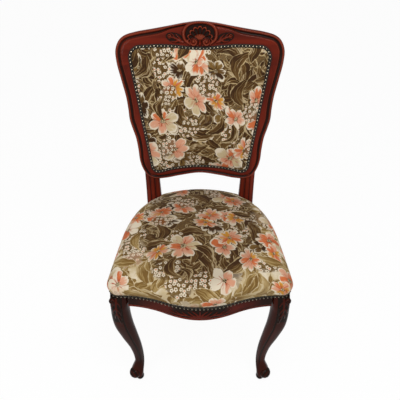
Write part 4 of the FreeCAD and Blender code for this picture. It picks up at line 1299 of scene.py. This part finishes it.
class CHAIR_OT_plain_wood(bpy.types.Operator):
    """Finishes the plain rails, the corner blocks and the hidden webbing"""
    bl_idname = "chair.plain_wood"
    bl_label = "Rails, blocks and webbing"

    def execute(self, context):
        block = kept("sawn_wood", sawn_wood)
        finishes = {"right_side_rail": wood("side_wood"), "left_side_rail": wood("side_wood"),
                    "rear_rail": wood("apron_wood")}
        for node in ("seat_burlap", "seat_webbing_lengthwise", "seat_webbing_crosswise", "back_webbing"):
            finishes[node] = plain_cloth("woven_jute")
        for end in ("right_front", "left_front", "right_rear", "left_rear"):
            finishes[end + "_glue_block"] = block
        for node, material in finishes.items():
            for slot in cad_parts[node].material_slots:
                slot.material = material
        return {"FINISHED"}


def clear_of_posts(p):
    """Moves a point of the seat out of a rear post, by the shorter way."""
    x, y, z = abs(p.x), p.y, p.z
    inner, front = value_at(POST_INNER, z) - 0.8, post_front(z) - 0.8
    if x <= inner or y <= front:
        return p
    if x - inner < y - front:
        x = inner
    else:
        y = front
    return Vector((math.copysign(x, p.x), y, z))


def crown(p):
    """Height of the seat's top, a little arched between the rear posts."""
    dome = CROWN_TOP - CROWN_RADIUS + math.sqrt(CROWN_RADIUS**2 - p.x**2 - (p.y - CROWN_Y) ** 2)
    return dome + smoothstep(60.0, 184.0, p.y) * (4.0 - 17.0 * (p.x / REAR_X) ** 2)


def swell(obj, held, steps, furthest):
    """Lets the stuffing push the cover out with a cloth simulation, then keeps the shape."""
    scene = bpy.context.scene
    group = obj.vertex_groups.new(name="held")
    group.add(held, 1.0, "REPLACE")
    cloth = obj.modifiers.new("stuffing", "CLOTH")
    cloth.settings.quality = 6
    cloth.settings.mass = 0.25
    cloth.settings.vertex_group_mass = "held"
    cloth.settings.use_pressure = True
    cloth.settings.uniform_pressure_force = 4.0
    cloth.settings.effector_weights.gravity = 0.0
    for step in range(1, steps + 1):
        scene.frame_set(step)
    puffed = obj.evaluated_get(bpy.context.evaluated_depsgraph_get()).to_mesh()
    moved = [v.co.copy() for v in puffed.vertices]
    for v, new in zip(obj.data.vertices, moved):
        shift = new - v.co
        if shift.length > furthest:
            shift = shift.normalized() * furthest
        v.co = v.co + shift
    obj.modifiers.remove(cloth)
    obj.vertex_groups.remove(group)
    scene.frame_set(1)


def covered(name, rings, flats, caps, replaced, held_rows, swell_limit, fix=None):
    """A stuffed piece from closed rings, with its cloth coordinates, swollen and smoothed."""
    n = len(rings[0])
    low, top, top_flat = caps
    verts, faces = fan_closed(rings, (low, top))
    mesh = mesh_of(name, [v * MM for v in verts], faces)
    obj = put(name, mesh, floral_cloth(), replaced, None)
    lay_cloth(mesh, [uv for row in flats for uv in row] + [flats[0][0], top_flat])
    shape = bpy.context.scene.chair_shape
    held = [i for row in held_rows for i in range(row * n, row * n + n)] + [len(verts) - 2]
    swell(obj, held, shape.swell_steps, swell_limit)
    if fix:
        for v in mesh.vertices:
            v.co = fix(v.co / MM) * MM
    soft = obj.modifiers.new("soft", "SUBSURF")
    soft.levels = soft.render_levels = 1
    return obj


class CHAIR_OT_seat(bpy.types.Operator):
    """Stuffs and covers the seat"""
    bl_idname = "chair.seat"
    bl_label = "Seat"

    def execute(self, context):
        top_edge = seat_loop(SEAT_SIDE[-1][1])
        tops = [crown(p) for p in top_edge]
        rings, flats = [], []
        inside = ((-60.0, BURLAP_TOP), (-24.0, BURLAP_TOP), (0.7, BURLAP_TOP), (0.7, 418.0), (0.8, 405.5))
        for offset, z in inside:
            loop = seat_loop(offset)
            rings.append([Vector((p.x, p.y, z)) for p in loop])
            flats.append(list(loop))
        under = len(rings)
        outs = outward(seat_loop(0.0))
        last, side, fall = None, [], []
        for share, offset in reversed(SEAT_SIDE):
            loop = seat_loop(offset)
            ring = [Vector((p.x, p.y, SEAT_LOW + (top - SEAT_LOW) * share)) for p, top in zip(loop, tops)]
            if last is None:
                fall = [0.0] * len(loop)
            else:
                fall = [f + (a - b).length for f, a, b in zip(fall, ring, last)]
            side.append((ring, [p + out * f for p, out, f in zip(top_edge, outs, fall)]))
            last = ring
        for ring, flat in reversed(side):
            rings.append(ring)
            flats.append(flat)
        for k in range(1, SEAT_ROWS):
            share = 1 - k / SEAT_ROWS
            ring = [PLAN_MIDDLE.lerp(p, share) for p in top_edge]
            rings.append([Vector((p.x, p.y, crown(p))) for p in ring])
            flats.append(ring)
        caps = (Vector((*PLAN_MIDDLE, BURLAP_TOP)), Vector((*PLAN_MIDDLE, crown(PLAN_MIDDLE))), PLAN_MIDDLE)
        limit = context.scene.chair_shape.seat_swell
        seat = covered("seat_cushion", rings, flats, caps, ("seat_cover", "seat_filling"), range(under + 1),
                       limit, clear_of_posts)
        return {"FINISHED"}


class CHAIR_OT_back_pad(bpy.types.Operator):
    """Stuffs and covers the front of the back"""
    bl_idname = "chair.back_pad"
    bl_label = "Back pad"

    def execute(self, context):
        line = panel_loop()
        outs = outward(line)

        def at(grow):
            return [p + out * grow for p, out in zip(line, outs)]
        rings, flats = [], []
        for grow, depth in ((-30.0, PAD_REAR), (-10.0, PAD_REAR), (-10.0, 3.2), (4.0, 2.6)) + PAD_EDGE:
            loop = at(grow)
            rings.append([on_back(p.x, p.y, depth) / MM for p in loop])
            flats.append(loop)
        rim, rim_depth = at(PAD_EDGE[-1][0]), PAD_EDGE[-1][1]
        for k in range(1, PAD_ROWS):
            share = 1 - k / PAD_ROWS
            loop = [PANEL_MIDDLE.lerp(p, share) for p in rim]
            depth = -PAD_CROWN + (rim_depth + PAD_CROWN) * share**2.4
            rings.append([on_back(p.x, p.y, depth) / MM for p in loop])
            flats.append(loop)
        caps = (on_back(*PANEL_MIDDLE, PAD_REAR) / MM, on_back(*PANEL_MIDDLE, -PAD_CROWN) / MM, PANEL_MIDDLE)
        limit = context.scene.chair_shape.back_swell
        pad = covered("back_pad", rings, flats, caps, ("back_front_cover", "back_filling"), range(6), limit)
        return {"FINISHED"}


def flat_sheet(name, loop, middle, place, bulge, thick, material, replaced):
    """A thin sheet of cloth inside a loop, bellied a little towards its outer face."""
    rings, flats = [], []
    shares = [k / SHEET_ROWS for k in range(1, SHEET_ROWS + 1)]
    for face in (0, 1):
        for share in (shares if face == 0 else reversed(shares)):
            ring = [middle.lerp(p, share) for p in loop]
            lift = bulge * (1 - share**2.2) + thick * face
            rings.append([place(p.x, p.y, lift) for p in ring])
            flats += ring
    verts, faces = fan_closed(rings, [place(*middle, lift) for lift in (bulge, bulge + thick)])
    mesh = mesh_of(name, verts, faces)
    obj = put(name, mesh, material, replaced, 50.0)
    lay_cloth(mesh, flats + [middle, middle])
    area = abs(sum(a.x * b.y - a.y * b.x for a, b in zip(loop, loop[1:] + loop[:1]))) / 2 * MM**2
    return obj


class CHAIR_OT_outside_back(bpy.types.Operator):
    """Stretches the cloth over the rear of the back"""
    bl_idname = "chair.outside_back"
    bl_label = "Outside back"

    def execute(self, context):
        line = panel_loop()
        loop = [p + out * BACK_SHEET_GROW for p, out in zip(line, outward(line))]

        def behind(x, h, out):
            return on_back(x, h, BACK_SHEET_DEPTH + out)
        flat_sheet("outside_back_cloth", loop, PANEL_MIDDLE, behind, 2.0, 1.2, floral_cloth(),
                   ("back_rear_cover",))
        return {"FINISHED"}


class CHAIR_OT_dust_cloth(bpy.types.Operator):
    """Stretches the dust cloth under the seat"""
    bl_idname = "chair.dust_cloth"
    bl_label = "Dust cloth"

    def execute(self, context):
        loop = []
        leg_x, leg_y = LEG_INNER_X - 1, LEG_REAR_Y + 6
        for p in seat_loop(-RAIL_THICK - 0.6):
            q = clear_of_posts(Vector((p.x, p.y, LINING_Z - 1)))
            x, y = abs(q.x), q.y
            if x > leg_x and y < leg_y:
                if x - leg_x < leg_y - y:
                    x = leg_x
                else:
                    y = leg_y
            loop.append(Vector((math.copysign(x, q.x), y)))

        def under(x, y, down):
            return Vector((x, y, LINING_Z - down)) * MM
        flat_sheet("seat_dust_cloth", loop, PLAN_MIDDLE, under, 3.0, 1.0, plain_cloth("dust_cloth"),
                   ("seat_lining",))
        return {"FINISHED"}


def nail_tree():
    """Geometry nodes that set domed nail heads along a path."""
    tree = bpy.data.node_groups.new("nail_row", "GeometryNodeTree")
    sockets = (("Path", "NodeSocketGeometry"), ("Pitch", "NodeSocketFloat"), ("Diameter", "NodeSocketFloat"),
               ("Height", "NodeSocketFloat"), ("Seed", "NodeSocketInt"), ("Finish", "NodeSocketMaterial"))
    for name, kind in sockets:
        tree.interface.new_socket(name, in_out="INPUT", socket_type=kind)
    tree.interface.new_socket("Nails", in_out="OUTPUT", socket_type="NodeSocketGeometry")
    add = Bench("nail_row", tree=tree).add
    given = add("NodeGroupInput").outputs
    curve = add("GeometryNodeMeshToCurve", None, {"Mesh": given["Path"]})
    spaced = add("GeometryNodeResampleCurve", {"mode": "LENGTH"},
                 {"Curve": curve.outputs[0], "Length": given["Pitch"]})
    dome = add("GeometryNodeMeshUVSphere", None, {"Segments": 12, "Rings": 6, "Radius": 0.5})
    place = add("GeometryNodeInputPosition")
    height = add("ShaderNodeSeparateXYZ", None, {0: place.outputs[0]})
    doubled = add("ShaderNodeMath", {"operation": "MULTIPLY"}, {0: given["Height"], 1: 2.0})
    size = add("ShaderNodeCombineXYZ", None,
               {"X": given["Diameter"], "Y": given["Diameter"], "Z": doubled.outputs[0]})
    # The dome's height, stored for the painted highlight on the nails' tops
    marked = add("GeometryNodeStoreNamedAttribute", {"data_type": "FLOAT", "domain": "POINT"},
                 {"Geometry": dome.outputs["Mesh"], "Name": "worn", "Value": height.outputs["Z"]})
    sized = add("GeometryNodeTransform", None, {"Geometry": marked.outputs[0], "Scale": size.outputs[0]})
    facing = add("GeometryNodeInputNamedAttribute", {"data_type": "FLOAT_VECTOR"}, {"Name": "outward"})
    turn = add("FunctionNodeAlignRotationToVector", {"axis": "Z"}, {"Vector": facing.outputs[0]})
    vary = add("FunctionNodeRandomValue", {"data_type": "FLOAT"}, {"Seed": given["Seed"], 2: 0.94, 3: 1.04})
    nails = add("GeometryNodeInstanceOnPoints", None,
                {"Points": spaced.outputs[0], "Instance": sized.outputs[0], "Rotation": turn.outputs[0],
                 "Scale": vary.outputs[1]})
    real = add("GeometryNodeRealizeInstances", None, {"Geometry": nails.outputs[0]})
    round_off = add("GeometryNodeSetShadeSmooth", None, {"Geometry": real.outputs[0]})
    coated = add("GeometryNodeSetMaterial", None,
                 {"Geometry": round_off.outputs[0], "Material": given["Finish"]})
    out = add("NodeGroupOutput", None, {"Nails": coated.outputs[0]})
    out.is_active_output = True
    return tree


def nail_row(name, tree, points, normals, closed, seed):
    """A row of nails as a plain mesh, made along a path with the direction each nail faces."""
    shape = bpy.context.scene.chair_shape
    edges = [(k, k + 1) for k in range(len(points) - 1)]
    if closed:
        edges.append((len(points) - 1, 0))
    path = bpy.data.meshes.new(name + "_path")
    path.from_pydata(points, edges, [])
    facing = path.attributes.new("outward", "FLOAT_VECTOR", "POINT")
    facing.data.foreach_set("vector", [c for n in normals for c in n])
    guide = linked(name + "_path", path)
    rule = guide.modifiers.new("nails", "NODES")
    rule.node_group = tree
    values = {"Pitch": shape.nail_pitch, "Diameter": shape.nail_diameter, "Height": shape.nail_height,
              "Seed": seed, "Finish": kept("aged_bronze", make_bronze)}
    for item in tree.interface.items_tree:
        if item.item_type == "SOCKET" and item.in_out == "INPUT" and item.name in values:
            rule[item.identifier] = values[item.name]
    guide.update_tag()
    graph = bpy.context.evaluated_depsgraph_get()
    mesh = bpy.data.meshes.new_from_object(guide.evaluated_get(graph))
    mesh.name = name
    bpy.data.objects.remove(guide)
    if not mesh.polygons:
        raise RuntimeError(name + ": the path gave no nails")
    obj = linked(name, mesh)
    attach(obj, "root")
    return obj


def braid_strip(name, sections, closed):
    """A narrow braid from its cuts along the way."""
    rows = sections + sections[:1] if closed else sections
    mesh = mesh_of(name, *loft(rows, not closed))
    bm = bmesh.new()
    bm.from_mesh(mesh)
    bmesh.ops.remove_doubles(bm, verts=bm.verts[:], dist=1e-6)
    bm.to_mesh(mesh)
    bm.free()
    return put(name, mesh, plain_cloth("dark_braid"), (), 50.0)


class CHAIR_OT_nails(bpy.types.Operator):
    """Drives the rows of decorative nails through their braid"""
    bl_idname = "chair.nails"
    bl_label = "Nails"

    def execute(self, context):
        tree = nail_tree()
        front = (on_back(0, 500, -1) - on_back(0, 500, 0)).normalized()
        line = panel_loop()
        cuts = [[on_back(*(p + out * grow), depth) for grow, depth in BACK_BRAID]
                for p, out in zip(line, outward(line))]
        braid_strip("back_braid", cuts, True)
        spots = [on_back(*p, BACK_NAIL_DEPTH) for p in line]
        nail_row("back_nails", tree, spots, [front] * len(line), True, 3)
        whole = both_sides([p for p in seat_half(0.0) if p.y < post_front(408.0) - 6])
        outs = open_normals(whole, 1)
        cuts = [[(p + out * grow).to_3d() * MM + Vector((0, 0, z * MM)) for grow, z in SEAT_BRAID]
                for p, out in zip(whole, outs)]
        braid_strip("seat_braid", cuts, False)
        spots = [Vector((*(p + out * SEAT_NAIL_OUT), SEAT_NAIL_Z)) * MM for p, out in zip(whole, outs)]
        facing = [Vector((*out, SEAT_NAIL_DIP)).normalized() for out in outs]
        nail_row("seat_nails", tree, spots, facing, False, 5)
        return {"FINISHED"}


class CHAIR_OT_studio(bpy.types.Operator):
    """Sets the floor, the light and the camera"""
    bl_idname = "chair.studio"
    bl_label = "Studio"

    def execute(self, context):
        studio = context.scene.chair_studio
        context.scene.view_settings.view_transform = "Standard"
        corners = [(x * FLOOR_HALF, y * FLOOR_HALF, 0) for x, y in ((-1, -1), (1, -1), (1, 1), (-1, 1))]
        mesh = mesh_of("floor", corners, [(0, 1, 2, 3)])
        floor = linked("floor", mesh)
        mesh.materials.append(self.floor_paint(studio))
        self.room(studio)
        self.lamp("key_light", KEY_PLACE, KEY_SIZE, studio.key_power)
        self.lamp("fill_light", FILL_PLACE, FILL_SIZE, studio.fill_power)
        for place in GLINT_PLACES:
            self.lamp("glint_light", place, GLINT_SIZE, studio.glint_power)
        data = bpy.data.cameras.new("camera")
        data.sensor_width = SENSOR
        data.lens = studio.lens
        camera = linked("camera", data)
        camera.location = CAMERA_PLACE
        camera.rotation_euler = (math.radians(90 - CAMERA_PITCH), 0.0, 0.0)
        context.scene.camera = camera
        return {"FINISHED"}

    def seen(self, bench):
        """1 for rays that show the background: straight, mirrored or through glass."""
        path = bench.add("ShaderNodeLightPath").outputs
        rays = [Wire(bench, path[n]) for n in ("Is Camera Ray", "Is Glossy Ray", "Is Transmission Ray")]
        return rays[0].math("MAXIMUM", rays[1]).math("MAXIMUM", rays[2])

    def floor_paint(self, studio):
        bench = Bench("floor_paint")
        grain = bench.noise(bench.coordinates(), 40.0, 2.0)
        tone = bench.mix(grain * 0.04, studio.floor, (0.8, 0.8, 0.8))
        matt = bench.add("ShaderNodeBsdfDiffuse", None, {"Color": tone})
        white = bench.add("ShaderNodeEmission", None, {"Color": (1.0, 1.0, 1.0), "Strength": 1.0})
        blend = bench.add("ShaderNodeMixShader", None,
                          {0: self.seen(bench) * FLOOR_GLOW, 1: matt.outputs[0], 2: white.outputs[0]})
        return bench.close(blend)

    def room(self, studio):
        bpy.context.scene.world = bpy.data.worlds.new("room")
        bench = Bench("room", bpy.context.scene.world)
        light = bench.add("ShaderNodeBackground", None, {"Color": (1.0, 1.0, 1.0), "Strength": studio.sky})
        white = bench.add("ShaderNodeBackground", None, {"Color": (1.0, 1.0, 1.0), "Strength": 1.0})
        blend = bench.add("ShaderNodeMixShader", None,
                          {0: self.seen(bench), 1: light.outputs[0], 2: white.outputs[0]})
        bench.close(blend)

    def lamp(self, name, place, size, power):
        data = bpy.data.lights.new(name, "AREA")
        data.size = size
        data.energy = power
        lamp = linked(name, data)
        lamp.location = place
        lamp.rotation_euler = (LIT_MIDDLE - Vector(place)).to_track_quat("-Z", "Y").to_euler()


OPERATORS = (CHAIR_OT_plain_wood, CHAIR_OT_back_frame, CHAIR_OT_crest_carving, CHAIR_OT_front_legs,
             CHAIR_OT_front_apron, CHAIR_OT_seat, CHAIR_OT_back_pad, CHAIR_OT_outside_back,
             CHAIR_OT_dust_cloth, CHAIR_OT_nails, CHAIR_OT_studio)
SETTINGS = (("chair_shape", ChairShape), ("chair_finish", ChairFinish), ("chair_studio", ChairStudio))


class CHAIR_PT_panel(bpy.types.Panel):
    """Lists the chair's pieces and settings"""
    bl_idname = "CHAIR_PT_panel"
    bl_label = "Carved side chair"
    bl_space_type = "VIEW_3D"
    bl_region_type = "UI"
    bl_category = "Chair"

    def draw(self, context):
        for operator in OPERATORS:
            self.layout.operator(operator.bl_idname)
        for name, group in SETTINGS:
            column = self.layout.column()
            for key in group.__annotations__:
                column.prop(getattr(context.scene, name), key)


def register():
    for name, group in SETTINGS:
        bpy.utils.register_class(group)
        setattr(bpy.types.Scene, name, PointerProperty(type=group))
    for kind in OPERATORS + (CHAIR_PT_panel,):
        bpy.utils.register_class(kind)


def unregister():
    for kind in reversed(OPERATORS + (CHAIR_PT_panel,)):
        bpy.utils.unregister_class(kind)
    for name, group in reversed(SETTINGS):
        delattr(bpy.types.Scene, name)
        bpy.utils.unregister_class(group)


def main():
    register()
    for operator in OPERATORS:
        group, name = operator.bl_idname.split(".")
        getattr(getattr(bpy.ops, group), name)()


if __name__ == "__main__":
    main()
